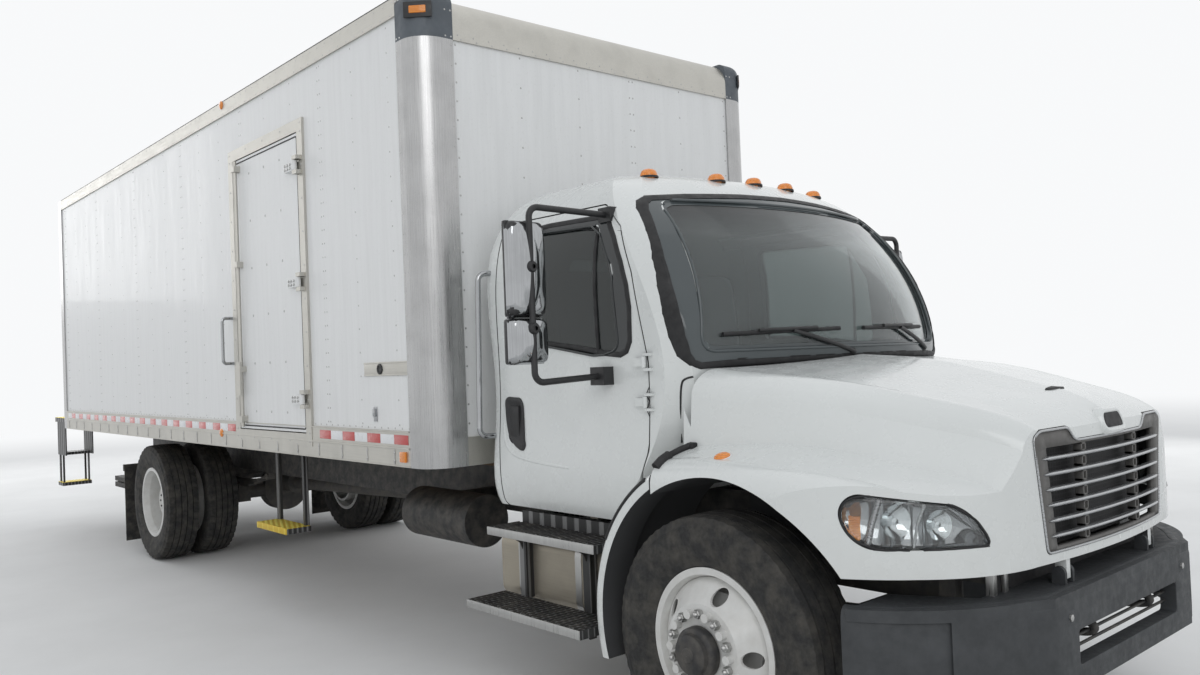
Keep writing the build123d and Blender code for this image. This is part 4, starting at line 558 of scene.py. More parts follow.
def lathe(name, centre, profile, finish, steps=32, axis=0, flip=1.0, body="truck", lug=None):
    """Turns a profile of (along, radius) points about an axis through a centre."""
    across = [i for i in range(3) if i != axis]
    loops = []
    for index, (along, radius) in enumerate(profile):
        loop = []
        for step, angle in enumerate(turns(steps)):
            reach = radius - (lug(step, index) if lug is not None else 0.0)
            place = Vector(centre)
            place[axis] += along * flip
            place[across[0]] += reach * math.cos(angle)
            place[across[1]] += reach * math.sin(angle)
            loop.append(place)
        loops.append(loop)
    return skinned(name, loops, finish, body, merge=0.00002)


def pipe(name, points, radius, finish, body="truck", closed=False, kind="POLY"):
    """A round bar, bead or hose along a route."""
    curve = bpy.data.curves.new(name, "CURVE")
    curve.dimensions = "3D"
    curve.bevel_depth = radius
    curve.bevel_resolution = 3
    curve.resolution_u = 8
    curve.use_fill_caps = True
    spline = curve.splines.new(kind)
    spline.points.add(len(points) - 1)
    for point, at in zip(spline.points, points):
        point.co = (*at, 1.0)
    spline.use_cyclic_u = closed
    if kind == "NURBS":
        spline.order_u = 3
        spline.use_endpoint_u = not closed
    return placed(name, curve, finish, body)


def row(start, end, pitch):
    """Even places between two ends."""
    count = max(2, int(round((end - start) / pitch)) + 1)
    return [start + (end - start) * k / (count - 1) for k in range(count)]


def from_axle(points):
    """Side view points whose first number counts from the front axle."""
    return [Vector((AXLE_Y + y, z)) for y, z in points]


def rounded(points, radius, cuts=6):
    """A closed outline with its corners rounded."""
    made = []
    for k, here in enumerate(points):
        here = Vector(here)
        into = Vector(points[k - 1]) - here
        away = Vector(points[(k + 1) % len(points)]) - here
        reach = min(radius, into.length * 0.45, away.length * 0.45)
        start = here + into.normalized() * reach
        end = here + away.normalized() * reach
        for t in [cut / cuts for cut in range(cuts + 1)]:
            made.append(start * (1 - t) ** 2 + here * 2 * t * (1 - t) + end * t ** 2)
    return made


def spaced(points, step):
    """Fills a closed outline's long runs with more points."""
    made = []
    for k, here in enumerate(points):
        after = points[(k + 1) % len(points)]
        parts = max(1, int((after - here).length / step))
        made += [here.lerp(after, part / parts) for part in range(parts)]
    return made


def grown(points, distance):
    """A closed outline moved outwards."""
    made = []
    count = len(points)
    area = sum(points[k - 1].x * points[k].y - points[k].x * points[k - 1].y for k in range(count))
    turn = 1.0 if area > 0 else -1.0
    for k in range(count):
        run = points[(k + 1) % count] - points[k - 1]
        out = Vector((run.y, -run.x)).normalized() * turn
        made.append(points[k] + out * distance)
    return made


SURFACE = {}
FAR = 4.0


def cast(node, origin, direction):
    """The first place where a line meets a node, and the face's direction there."""
    if node not in SURFACE:
        shaped = bmesh.new()
        shaped.from_mesh(frame["nodes"][node].data)
        SURFACE[node] = BVHTree.FromBMesh(shaped)
        shaped.free()
    at, normal, _, _ = SURFACE[node].ray_cast(Vector(origin), Vector(direction).normalized())
    return at, normal


def sight(view, a, b):
    """Start and direction of a line of sight, by its places across the view."""
    starts = {"right": (-FAR, a, b), "left": (FAR, a, b), "front": (a, AXLE_Y - FAR, b),
              "rear": (a, BOX_REAR + FAR, b), "top": (a, b, FAR)}
    ways = {"right": (1, 0, 0), "left": (-1, 0, 0), "front": (0, 1, 0), "rear": (0, -1, 0),
            "top": (0, 0, -1)}
    return Vector(starts[view]), Vector(ways[view])


def traced(node, view, places):
    """Where lines of sight meet a node, without those that miss it."""
    found = [cast(node, *sight(view, a, b))[0] for a, b in places]
    return [at for at in found if at is not None]


def touch(node, view, a, b):
    """Where one line of sight meets a node."""
    return cast(node, *sight(view, a, b))[0]


def bead_on(name, outline, node, view, radius, finish, body="truck", sink=0.25):
    """A seal that follows an outline over a node."""
    ahead = sight(view, 0, 0)[1]
    route = [at - ahead * radius * (1 - sink) * 0.5 for at in traced(node, view, outline)]
    return pipe(name, route, radius, finish, body, closed=True)


def band_on(name, loops, lifts, nodes, view, finish, body="truck"):
    """A flat surround between outlines, laid on the first node that each place meets."""
    rows = []
    for loop, lift in zip(loops, lifts):
        made = []
        for flat in loop:
            origin, ahead = sight(view, *flat)
            found = [at for node in nodes for at in traced(node, view, [flat])]
            at = min(found, key=lambda place: (place - origin).length, default=None)
            made.append(at - ahead * lift if at is not None else None)
        rows.append(made)
    return skinned(name, rows, finish, body)


BAND_SHARES = (0.0, 0.14, 0.28, 0.42, 0.56, 0.70, 0.85, 1.0)


def paired(outer, inner, parts):
    """Two outlines of the same count, filled in alike, with steps between them."""
    filled = [[here.lerp(outline[(k + 1) % len(outline)], part / parts)
               for k, here in enumerate(outline) for part in range(parts)]
              for outline in (outer, inner)]
    return [[a.lerp(b, share) for a, b in zip(*filled)] for share in BAND_SHARES]


# Tyres with tread

def tyre_profile(half, radius, rim, grooves, depth):
    """Profile of a tyre from bead to bead: sidewalls, shoulders and grooved tread."""
    line = [
        (half * 0.66, rim * 0.995), (half * 0.80, rim + 0.004), (half * 0.84, rim + 0.022),
        (half * 0.905, rim + 0.045), (half * 0.925, rim + 0.052), (half * 0.92, rim + 0.058),
        (half * 0.985, rim + 0.095), (half * 0.998, rim + 0.112), (half * 0.985, rim + 0.135),
        (half * 0.955, rim + 0.155), (half * 0.962, rim + 0.159), (half * 0.925, radius - 0.030),
        (half * 0.895, radius - 0.014), (half * 0.862, radius - 0.006),
    ]
    for middle, width in grooves:
        top = radius - 0.006 * (middle / half) ** 2
        line += [(middle + width / 2, top), (middle + width / 2 - 0.002, top - depth),
                 (middle - width / 2 + 0.002, top - depth), (middle - width / 2, top)]
    return line + [(-along, r) for along, r in reversed(line)]


def tyre(name, body, centre, half, driven, node):
    """One tyre: ribs in front, shoulder lugs on a driven axle."""
    places, width, depth = ((0.52, 0.17), 0.010, 0.013) if driven else ((0.60, 0.21), 0.011, 0.011)
    profile = tyre_profile(half, TYRE_RADIUS - 0.001, RIM_RADIUS,
                           [(half * place, width) for place in places], depth)
    first, final, sunk, every = (11, 14, 0.012, 3) if driven else (12, 13, 0.004, 2)

    def lug(step, index):
        edge = min(index, len(profile) - 1 - index)
        return sunk if first <= edge <= final and step % every == 0 else 0.0

    made = lathe(name, centre, profile, "tyre", 132, body=body, lug=lug)
    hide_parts(node)


for side, label in SIDES:
    low, high = BOX[f"front_tyre_{label}"]
    half = (high[0] - low[0]) / 2
    tyre(f"tyre_front_{label}", f"front_wheel_{label}",
         ((low[0] + high[0]) / 2, AXLE_Y, FRONT_AXLE.z), half, False, f"front_tyre_{label}")
    low, high = BOX[f"rear_tyres_{label}"]
    for end, place in zip(("inner", "outer"), (low[0] + half, high[0] - half)[::side]):
        tyre(f"tyre_rear_{label}_{end}", f"rear_wheels_{label}",
             (place, REAR_AXLE.y, REAR_AXLE.z), half, True, f"rear_tyres_{label}")

# Rivets of the load space
ROW_PITCH = 0.406
SHEET_ROWS = 3
SEAM_SHIFTS = (-0.014, 0.014)
RIVET_PITCH = 0.135
AHEAD = (0, -1, 0)
BEHIND = (0, 1, 0)
FRONT_INNER = HALF_BOX - 0.224


def beside_door(side, y):
    """Whether a place along the wall is at the side door."""
    return side < 0 and DOOR_SPAN[0] - 0.02 < y < DOOR_SPAN[1] + 0.02


for side, label in SIDES:
    out = (side, 0, 0)
    spots = []
    for index, y in enumerate(row(WALL_START + 0.12, WALL_END - 0.12, ROW_PITCH)):
        seam = index % SHEET_ROWS == 2
        for shift in (SEAM_SHIFTS if seam else (0.0,)):
            for z in row(WALL_LOW + 0.03, WALL_HIGH - 0.03, RIVET_PITCH * (0.6 if seam else 1.0)):
                if not (beside_door(side, y) and DOOR_LOW - 0.02 < z < DOOR_HIGH + 0.02):
                    spots.append(((side * WALL_X, y + shift, z), out))
    spots += [((side * WALL_X, y, WALL_LOW + 0.012), out)
              for y in row(WALL_START + 0.02, WALL_END - 0.02, 0.075) if not beside_door(side, y)]
    rivets(f"wall_rivets_{label}", spots, 0.0065)
    rivets(f"top_rail_rivets_{label}",
           [((side * HALF_BOX, y + shift, BOX_TOP - drop), out)
            for y in row(WALL_START + 0.02, WALL_END - 0.02, 0.10)
            for shift, drop in ((0.0, 0.022), (0.03, 0.086))], 0.0055, 0.002)

front_y = BOX["box_front_wall"][0][1]
spots = []
for index, x in enumerate(row(-FRONT_INNER + 0.02, FRONT_INNER - 0.02, ROW_PITCH)):
    edge = index in (0, int(round(2 * (FRONT_INNER - 0.02) / ROW_PITCH)))
    seam = index % SHEET_ROWS == 0 and not edge
    spots += [((x + shift, front_y, z), AHEAD) for shift in (SEAM_SHIFTS if seam else (0.0,))
              for z in row(WALL_LOW + 0.03, BOX_TOP - 0.262, 0.10 if seam or edge else 0.16)]
rivets("front_wall_rivets", spots, 0.0065)
spots = []
for side, label in SIDES:
    for z in row(POST_LOW + 0.05, POST_TOP - 0.05, 0.105):
        spots += [((side * HALF_BOX, BOX_FRONT + 0.196, z), (side, 0, 0)),
                  ((side * (FRONT_INNER + 0.012), BOX_FRONT, z + 0.02), AHEAD)]
rivets("post_rivets", spots)
rivets("front_rail_rivets",
       [((x + shift, BOX_FRONT, BOX_TOP - drop), AHEAD)
        for x in row(-FRONT_INNER + 0.03, FRONT_INNER - 0.03, 0.098)
        for shift, drop in ((0.0, 0.212), (0.02, 0.232))], 0.0055, 0.002)

# Bottom rails: beads, clips, bolts and reflecting film
BAND = RAIL_LOW + 0.098
FILM = 0.15
RAIL_ENDS = (WALL_START + 0.004, WALL_END - 0.004)
for side, label in SIDES:
    face = side * HALF_BOX
    boxes(f"rail_beads_{label}",
          [((face - 0.001, RAIL_ENDS[0], z - tall / 2), (face + side * 0.005, RAIL_ENDS[1],
                                                         z + tall / 2))
           for z, tall in ((BAND, 0.010), (RAIL_LOW + 0.186, 0.006), (RAIL_LOW + 0.004, 0.006))],
          "aluminium", 0.0015)
    places = row(RAIL_ENDS[0] + 0.16, RAIL_ENDS[1] - 0.1, 0.305)
    boxes(f"rail_clips_{label}",
          [((face, y - 0.005, RAIL_LOW + 0.012), (face + side * 0.0025, y + 0.005, BAND - 0.008))
           for y in places], "steel", 0.0008)
    rivets(f"rail_bolts_{label}", [((face + side * 0.002, y, RAIL_LOW + rise), (side, 0, 0))
                                   for y in places for rise in (0.03, 0.072)], 0.008, 0.004, 8)
    films = {"red": [], "white": []}
    for number in range(int((RAIL_ENDS[1] - RAIL_ENDS[0]) / FILM)):
        y = RAIL_ENDS[0] + 0.01 + FILM * number
        doorway = side < 0 and DOOR_SPAN[0] - 0.16 < y < DOOR_SPAN[1] + 0.01
        if y + FILM < RAIL_ENDS[1] and not doorway:
            films["white" if number % 2 else "red"].append(
                ((face - 0.0005, y, BAND + 0.020), (face + side * 0.0012, y + 0.148, BAND + 0.071)))
    for colour, spans in films.items():
        boxes(f"film_{colour}_{label}", spans, f"{colour}_film", 0.0005)
    # A thin black strip along the top edge of each wall: painted shade where the roof meets the wall
    boxes(f"roof_edge_shade_{label}", [((face - side * 0.03, RAIL_ENDS[0], BOX_TOP - 0.002),
                                  (face + side * 0.001, RAIL_ENDS[1], BOX_TOP + 0.004))],
          "seal_black")

# Corner cap lamps, latch, strip and plug on the right wall
for side, label in SIDES:
    out = Vector((side, -1, 0)).normalized()
    spot = Vector((side * (HALF_BOX - 0.150), BOX_FRONT + 0.150, BOX_TOP - 0.105)) + out * 0.149
    turn = Matrix.Rotation(math.atan2(out.y, out.x), 3, "Z")
    for part, at, (wide, tall), finish in (("bezel", spot, (0.075, 0.042), "black_plastic"),
                                           ("lens", spot + out * 0.004, (0.045, 0.020), "amber")):
        boxes(f"cap_lamp_{part}_{label}", [(at - Vector((0.008, wide, tall)),
                                            at + Vector((0.004, wide, tall)))],
              finish, 0.006, turn=turn)
    spots = [((side * HALF_BOX, y, BOX_TOP - drop), (side, 0, 0))
             for y in (BOX_FRONT + 0.165, BOX_FRONT + 0.195) for drop in (0.228, 0.030)]
    spots += [((side * (HALF_BOX - inset), BOX_FRONT, BOX_TOP - drop), AHEAD)
              for inset in (0.212, 0.178) for drop in (0.228, 0.090)]
    rivets(f"cap_rivets_{label}", spots)

STRIP_Y = (AXLE_Y + 1.92, AXLE_Y + 2.42)
boxes("wall_strip", [((-WALL_X - front, STRIP_Y[0], low), (-WALL_X - back, STRIP_Y[1], high))
                     for front, back, low, high in ((0.004, 0.0, 1.575, 1.650),
                                                    (0.007, 0.002, 1.575, 1.583),
                                                    (0.007, 0.002, 1.642, 1.650))],
      "aluminium", 0.001)
lathe("wall_plug", (-WALL_X - 0.004, AXLE_Y + 2.24, 1.612),
      [(0.0, 0.030), (-0.003, 0.030), (-0.006, 0.026), (-0.006, 0.019), (-0.002, 0.017),
       (-0.002, 0.0004)], "black_plastic", 28)
LATCH_Y = AXLE_Y + 2.310
boxes("wall_latch", [((-WALL_X - 0.005, LATCH_Y - 0.020, 1.325), (-WALL_X, LATCH_Y + 0.020, 1.405)),
                     ((-WALL_X - 0.016, LATCH_Y - 0.012, 1.352),
                      (-WALL_X - 0.004, LATCH_Y + 0.012, 1.398))], "chrome", 0.003)

# Side door: gasket, rivets, frame bolts and hinge bolts
(_, side_start, side_low), (_, side_end, side_high) = BOX["side_door"]
gasket = rounded([(side_start + 0.03, side_low + 0.02), (side_start + 0.03, side_high - 0.02),
                  (side_end - 0.02, side_high - 0.02), (side_end - 0.02, side_low + 0.02)], 0.02, 3)
pipe("side_door_gasket", [(0.001 - HALF_BOX, *p) for p in spaced(gasket, 0.3)], 0.005,
     "seal_black", "side_door", closed=True)
rivets("side_door_rivets", [((-HALF_BOX, y, z), (-1, 0, 0))
                            for y in row(side_start + 0.30, side_end - 0.28, 0.24)
                            for z in row(side_low + 0.12, side_high - 0.12, 0.30)],
       0.010, 0.003, 8, "side_door")
spots = [(y, z) for y in row(DOOR_SPAN[0] + 0.03, DOOR_SPAN[1] - 0.03, 0.28)
         for z in (DOOR_HIGH - 0.028, DOOR_LOW + 0.028)]
spots += [(y, z) for z in row(DOOR_LOW + 0.08, DOOR_HIGH - 0.08, 0.21)
          for y in (DOOR_SPAN[0] + 0.028, DOOR_SPAN[1] - 0.028)]
rivets("side_frame_bolts", [((-HALF_BOX - 0.004, y, z), (-1, 0, 0)) for y, z in spots],
       0.0075, 0.003, 8)
HINGE_X, HINGE_Y, _ = JOINT["side_door_swing"]["pos_m"]
HINGE_SHARES = (0.12, 0.5, 0.88)
shaped = bmesh.new()
for share in HINGE_SHARES:
    level = DOOR_LOW + 0.060 + share * (DOOR_HIGH - DOOR_LOW - 0.120)
    for y in (0.055, 0.095, 0.130):
        for rise in (0.012, -0.012):
            add_hex(shaped, (HINGE_X - 0.005, HINGE_Y + y, level + rise), (-1, 0, 0), 0.009, 0.006)
from_bmesh("side_hinge_bolts", shaped, "steel", "side_door")

# Seals and dark surrounds of the glass
SHIELD = [(-0.905, 1.635), (-0.795, 2.325), (0.795, 2.325), (0.905, 1.635)]
SIDE_PANE = [(0.600, 1.660), (0.740, 1.632), (1.100, 1.690), (1.400, 1.700), (1.400, 2.250),
             (0.740, 2.225), (0.625, 2.010)]
REAR_PANE = [(-0.450, 1.740), (-0.450, 2.180), (0.450, 2.180), (0.450, 1.740)]
SHIELD_OUTER = [(0.0, 1.572), (0.500, 1.572), (0.774, 1.570), (0.908, 1.564), (0.950, 1.580),
                (0.976, 1.620), (0.990, 1.700), (0.995, 1.800), (0.991, 1.920), (0.975, 2.040),
                (0.940, 2.170), (0.900, 2.283), (0.872, 2.322), (0.830, 2.346), (0.620, 2.362),
                (0.300, 2.378), (0.0, 2.384)]
SHIELD_INNER = [(0.0, 1.655), (0.450, 1.655), (0.720, 1.655), (0.830, 1.656), (0.858, 1.664),
                (0.876, 1.684), (0.880, 1.720), (0.868, 1.800), (0.850, 1.920), (0.832, 2.040),
                (0.810, 2.170), (0.790, 2.250), (0.775, 2.284), (0.735, 2.300), (0.560, 2.303),
                (0.280, 2.303), (0.0, 2.303)]
DOOR_EDGE = [(0.517, 1.689), (0.545, 1.643), (0.593, 1.625), (0.711, 1.637), (0.889, 1.664),
             (1.100, 1.690), (1.395, 1.696), (1.412, 1.712), (1.412, 2.255), (1.395, 2.272),
             (1.123, 2.282), (0.900, 2.277), (0.735, 2.272), (0.672, 2.250), (0.610, 2.160),
             (0.555, 2.044), (0.520, 1.940), (0.507, 1.840)]
DOOR_INNER = [(0.612, 1.685), (0.625, 1.668), (0.655, 1.652), (0.740, 1.640), (0.900, 1.668),
              (1.100, 1.696), (1.380, 1.706), (1.393, 1.715), (1.393, 2.235), (1.380, 2.243),
              (1.123, 2.232), (0.900, 2.224), (0.765, 2.218), (0.735, 2.200), (0.695, 2.130),
              (0.655, 2.044), (0.630, 1.950), (0.620, 1.840)]
bead_on("rear_window_seal", grown(spaced(rounded(REAR_PANE, 0.06, 6), 0.05), 0.005), "cab_shell",
        "rear", 0.011, "seal_black")
mirrored = ([Vector(p) for p in half] + [Vector((-x, z)) for x, z in half[-2:0:-1]]
            for half in (SHIELD_OUTER, SHIELD_INNER))
loops = paired(*mirrored, 3)
nodes = ["cab_shell", "cab_glass"]
band_on("windshield_band", loops[1:], [0.004] * 6 + [0.003], nodes, "front", "mask_grey")
band_on("windshield_seal", [grown(loops[0], far) for far in (0.004, 0.0, -0.012, -0.024, -0.027)],
        [-0.002, 0.009, 0.011, 0.009, 0.001], nodes, "front", "seal_black")
bead_on("windshield_edge", grown(spaced(rounded(SHIELD, 0.075, 8), 0.03), 0.001), "cab_shell",
        "front", 0.007, "mask_grey", sink=0.2)
for side, label in SIDES:
    door = f"door_{label}"
    nodes = [door, f"door_glass_{label}"]
    bar = traced(nodes[1], label, [(AXLE_Y + 0.750, z) for z in (1.650, 1.80, 1.95, 2.10, 2.215)])
    pipe(f"door_vent_bar_{label}", [at + Vector((side * 0.002, 0, 0)) for at in bar], 0.010,
         "seal_black", door)
    loops = paired(from_axle(DOOR_EDGE), from_axle(DOOR_INNER), 4)
    band_on(f"door_window_mask_{label}", loops[1:], [0.003] * 6 + [0.002], nodes, label,
            "mask_black", door)
    band_on(f"door_window_seal_{label}",
            [grown(loops[0], far) for far in (0.004, 0.0, -0.010, -0.020, -0.023)],
            [-0.002, 0.006, 0.008, 0.006, 0.001], nodes, label, "seal_black", door)
    pane = spaced(rounded(from_axle(SIDE_PANE), 0.050, 6), 0.03)
    bead_on(f"door_window_edge_{label}", grown(pane, 0.001), door, label, 0.006, "mask_black",
            door, 0.2)

# Dark lines of painted shade in the shut lines of doors, wings and bonnet
SHUT_LINE = [(0.655, 0.905), (0.520, 1.010), (0.428, 1.230), (0.425, 1.600), (0.500, 1.990),
             (0.590, 2.200), (0.730, 2.318), (1.100, 2.3215), (1.500, 2.325), (1.506, 1.78),
             (1.512, 1.240), (1.490, 0.905)]
BONNET_LINE = [(0.940, 0.225, 1.532), (0.962, 0.258, 1.527), (0.967, 0.272, 1.499),
               (0.963, 0.284, 1.419), (0.948, 0.300, 1.335), (0.933, 0.315, 1.256)]
WING_ARC = 0.674
for side, label in SIDES:
    route = []
    for y, z in spaced(grown(rounded(from_axle(SHUT_LINE), 0.040, 5), 0.003), 0.03):
        at = touch("cab_shell", label, y + (0.006 if y > AXLE_Y + 1.0 else -0.006), z)
        if at is not None and abs(at.x) > 0.80:
            route.append(Vector((at.x - side * 0.0015, y, z)))
    # A dark pipe in the door's shut line: painted shade in the gap
    pipe(f"door_gap_shade_{label}", route, 0.0022, "seal_black", closed=True)
    angles = [math.radians(62.0 - 34.0 * k / 13) for k in range(14)]
    arc = traced("wing_rears", label, [(ARCH_AXIS[0] + WING_ARC * math.cos(angle),
                                        ARCH_AXIS[1] + WING_ARC * math.sin(angle))
                                       for angle in angles])
    # A dark pipe along the wing's edge over the arch: painted shade
    pipe(f"wing_edge_shade_{label}", [at for at in arc if abs(at.x) > 1.1], 0.009, "seal_black")
    # A dark pipe in the bonnet's shut line: painted shade in the gap
    pipe(f"bonnet_gap_shade_{label}", [(side * x, AXLE_Y + y, z) for x, y, z in BONNET_LINE], 0.0045,
         "seal_black", kind="NURBS")

# Wipers on the windshield
WIPERS = {
    "right": (((-0.80, 1.700), (-0.16, 1.712)), ((-0.05, 1.618), (-0.46, 1.706))),
    "left": (((0.02, 1.712), (0.66, 1.716)), ((0.72, 1.622), (0.36, 1.712))),
}
for label, (blade, ((foot_x, foot_z), tip)) in WIPERS.items():
    start, end = (Vector(p) for p in blade)
    route = [at + Vector((0, -0.014, 0.004))
             for at in traced("cab_glass", "front", [start.lerp(end, k / 4) for k in range(5)])]
    pipe(f"wiper_blade_{label}", route, 0.010, "seal_black")
    pipe(f"wiper_spine_{label}", [p + Vector((0, -0.014, 0.009)) for p in route[1:4]], 0.008,
         "black_plastic")
    foot = touch("cab_shell", "front", foot_x, foot_z - 0.01)
    if foot is None or foot.y > AXLE_Y + 0.5:
        foot = touch("cab_glass", "front", foot_x, foot_z + 0.05)
    tip = touch("cab_glass", "front", *tip) + Vector((0, -0.026, 0.006))
    bend = foot.lerp(tip, 0.35) + Vector((0, -0.022, 0.006))
    pipe(f"wiper_arm_{label}", [foot + Vector((0, -0.012, 0)), bend, tip], 0.010,
         "black_plastic", kind="NURBS")
    domes(f"wiper_pivot_{label}", [(foot + Vector((0, 0.004, 0)), (0, -0.8, 0.6))], 0.022, 0.020,
          "black_plastic", 16, 4)

# Mirrors: bright backs, frames, glass and clamps
MIRROR_X = 1.400
MIRROR_Y = AXLE_Y + 0.700
MIRROR_HALF = 0.094
MIRRORS = {"big": (1.815, 2.215, 0.065), "small": (1.615, 1.800, 0.075)}
FLAT_SHARE = 0.80


def mirror_depth(u, v):
    """How far back a mirror's shell is at a place of its face: bowed, rolled and with a pod."""
    edge = min(1.0, (abs(u) ** 7 + abs(v) ** 7) ** (1 / 7))
    pod = max(0.0, 1 - (u / 0.46) ** 2 - (v / 0.82) ** 2)
    if edge < FLAT_SHARE:
        back = 0.007 - 0.010 * (1 - (edge / FLAT_SHARE) ** 2)
    else:
        turn = (edge - FLAT_SHARE) / (1 - FLAT_SHARE)
        back = 0.007 + 0.026 * (1 - math.sqrt(max(0.0, 1 - turn * turn)))
        back += 0.022 if edge > 0.985 else 0.0
    return back - 0.009 * math.sqrt(pod)


for side, label in SIDES:
    x = side * MIRROR_X
    door = f"door_{label}"
    for part, (low, high, deep) in MIRRORS.items():
        middle = (low + high) / 2
        half = (high - low) / 2 + 0.004
        grid = [[(x + MIRROR_HALF * u, MIRROR_Y + mirror_depth(u, v), middle + half * v)
                 for v in row(-1.0, 1.0, 0.05)] for u in row(-1.0, 1.0, 2 / 30)]
        skinned(f"mirror_shell_{part}_{label}", grid, "chrome", door, closed=False)
        boxes(f"mirror_frame_{part}_{label}", [((x - 0.0945, MIRROR_Y + 0.046, low - 0.005),
                                                (x + 0.0945, MIRROR_Y + deep + 0.009, high + 0.005))],
              "black_plastic", 0.014, door)
        boxes(f"mirror_glass_{part}_{label}", [((x - 0.078, MIRROR_Y + deep + 0.006, low + 0.012),
                                                (x + 0.078, MIRROR_Y + deep + 0.0125,
                                                 high - 0.012))], "mirror_glass", 0.004, door)
    for z in (1.76, 2.02):
        lathe(f"mirror_clamp_{int(z * 100)}_{label}", (x, MIRROR_Y, z),
              [(-0.022, 0.010), (-0.022, 0.020), (-0.012, 0.026), (0.012, 0.026), (0.022, 0.020),
               (0.022, 0.010)], "black_plastic", 24, 1, body=door)

# Door handles, creases and the vent behind
HANDLE = Vector((AXLE_Y + 1.385, 1.322))
HANDLE_OUTLINE = [(0.091, 0.104), (0.066, 0.122), (-0.051, 0.117), (-0.078, 0.085),
                  (-0.096, -0.085), (-0.106, -0.106), (-0.088, -0.134), (-0.060, -0.132),
                  (-0.010, -0.114), (0.050, -0.066), (0.078, 0.010)]
HANDLE_LEVELS = [(1.04, -0.002), (1.03, 0.005), (0.98, 0.009), (0.90, 0.009), (0.84, 0.006),
                 (0.72, 0.004), (0.40, 0.004)]
CREASE = [(1.480, 1.330), (1.478, 1.270), (1.466, 1.218), (1.430, 1.180), (1.380, 1.158),
          (1.300, 1.144), (1.200, 1.133), (1.080, 1.125), (0.960, 1.120)]
PLAIN_Y = AXLE_Y + 1.220
oval = spaced(rounded([(HANDLE.x + a * 0.86, HANDLE.y + b) for a, b in HANDLE_OUTLINE], 0.03, 4),
              0.02)
middle = Vector((sum(p.x for p in oval), sum(p.y for p in oval))) / len(oval)
for side, label in SIDES:
    door = f"door_{label}"
    loops = []
    for share, lift in HANDLE_LEVELS:
        flats = [middle + (p - middle) * share for p in oval]
        loops.append([(touch(door, label, PLAIN_Y, flat.y).x + side * (lift + 0.001), flat.x, flat.y)
                      for flat in flats])
    skinned(f"door_handle_cup_{label}", loops, "black_plastic", door, caps=(-1,))
    face = touch(door, label, PLAIN_Y, HANDLE.y).x
    boxes(f"door_paddle_{label}", [((face - side * 0.004, HANDLE.x - 0.044, HANDLE.y - 0.070),
                                    (face + side * 0.013, HANDLE.x + 0.030, HANDLE.y + 0.082))],
          "black_plastic", 0.009, door)
    route = []
    for y, z in CREASE:
        for at in traced(door, label, [(AXLE_Y + y, z)]):
            if abs(at.x) > 0.9:
                route.append(at - Vector((side * (0.0075 + 0.006 * abs(y - 1.36)), 0, 0)))
    pipe(f"door_crease_{label}", route, 0.012, "white_paint", door, kind="NURBS")
    vent = traced("cab_shell", "top", [(side * (0.850 - 0.10 * share),
                                        BOX["cab_shell"][1][1] - 0.030)
                                       for share in (0.0, 0.33, 0.66, 1.0)])
    pipe(f"cab_vent_{label}", [at for at in vent if at.z > 2.0], 0.011, "seal_black")

# Roof lamps on the cab, side and rear lamps
for x, back in ((0.0, 0.640), (0.270, 0.650), (-0.270, 0.650), (0.640, 0.745), (-0.640, 0.745)):
    at = touch("cab_shell", "top", x, AXLE_Y + back)
    name = f"roof_lamp_{int(round(x * 1000)) + 1000}"
    lathe(f"{name}_lens", (at.x, at.y, at.z + 0.004),
          [(0.031, 0.0004), (0.030, 0.014), (0.027, 0.026), (0.020, 0.035), (0.008, 0.041),
           (-0.006, 0.043)], "amber", axis=2)
    lathe(f"{name}_base", (at.x, at.y, at.z - 0.012),
          [(0.0, 0.047), (0.008, 0.047), (0.012, 0.044), (0.013, 0.030)], "seal_black", axis=2)
for side, label in SIDES:
    for number, (back, z) in enumerate(((4.62, RAIL_LOW + 0.100), (4.42, BOX_TOP - 0.020))):
        lathe(f"side_lamp_{number}_{label}", (side * HALF_BOX, AXLE_Y + back, z),
              [(0.0, 0.030), (0.004, 0.030), (0.006, 0.027), (0.011, 0.020), (0.013, 0.010),
               (0.014, 0.0004)], "amber", 28, flip=side)
    boxes(f"front_side_lamp_{label}", [((side * HALF_BOX, WALL_START + 0.035, RAIL_LOW + 0.026),
                                        (side * (HALF_BOX + 0.012), WALL_START + 0.095,
                                         RAIL_LOW + 0.082))], "amber", 0.005)
    for number in range(3):
        x = side * (0.520 + 0.090 * number)
        boxes(f"rear_lamp_{number}_{label}", [((x - 0.035, BOX_REAR, RAIL_LOW + 0.020),
                                               (x + 0.035, BOX_REAR + 0.022, RAIL_LOW + 0.080))],
              "red_lens", 0.008)
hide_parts("marker_lamps")

# Bonnet: side lamps, latches, badge surround and slot
STRAP = [(1.168, 0.236, 1.180), (1.140, 0.232, 1.202), (1.092, 0.236, 1.220),
         (1.040, 0.224, 1.239), (0.992, 0.200, 1.256)]
for side, label in SIDES:
    spot = cast("hood", *sight("top", side * 1.075, AXLE_Y - 0.036))
    domes(f"wing_lamp_{label}", [spot], 0.034, 0.016, "amber", 24, 5, "bonnet")
    domes(f"wing_lamp_ring_{label}", [spot], 0.038, 0.004, "white_film", 24, 3, "bonnet")
    strap = [Vector((side * x, AXLE_Y + y, z)) for x, y, z in STRAP]
    pipe(f"bonnet_latch_{label}", strap, 0.0135, "seal_black", "bonnet")
    pipe(f"bonnet_latch_body_{label}", strap[:3], 0.021, "seal_black", "bonnet")
    boxes(f"bonnet_latch_hook_{label}", [(strap[4] - Vector((0.020, 0.020, 0.016)),
                                          strap[4] + Vector((0.020, 0.016, 0.010)))],
          "seal_black", 0.007, "bonnet")

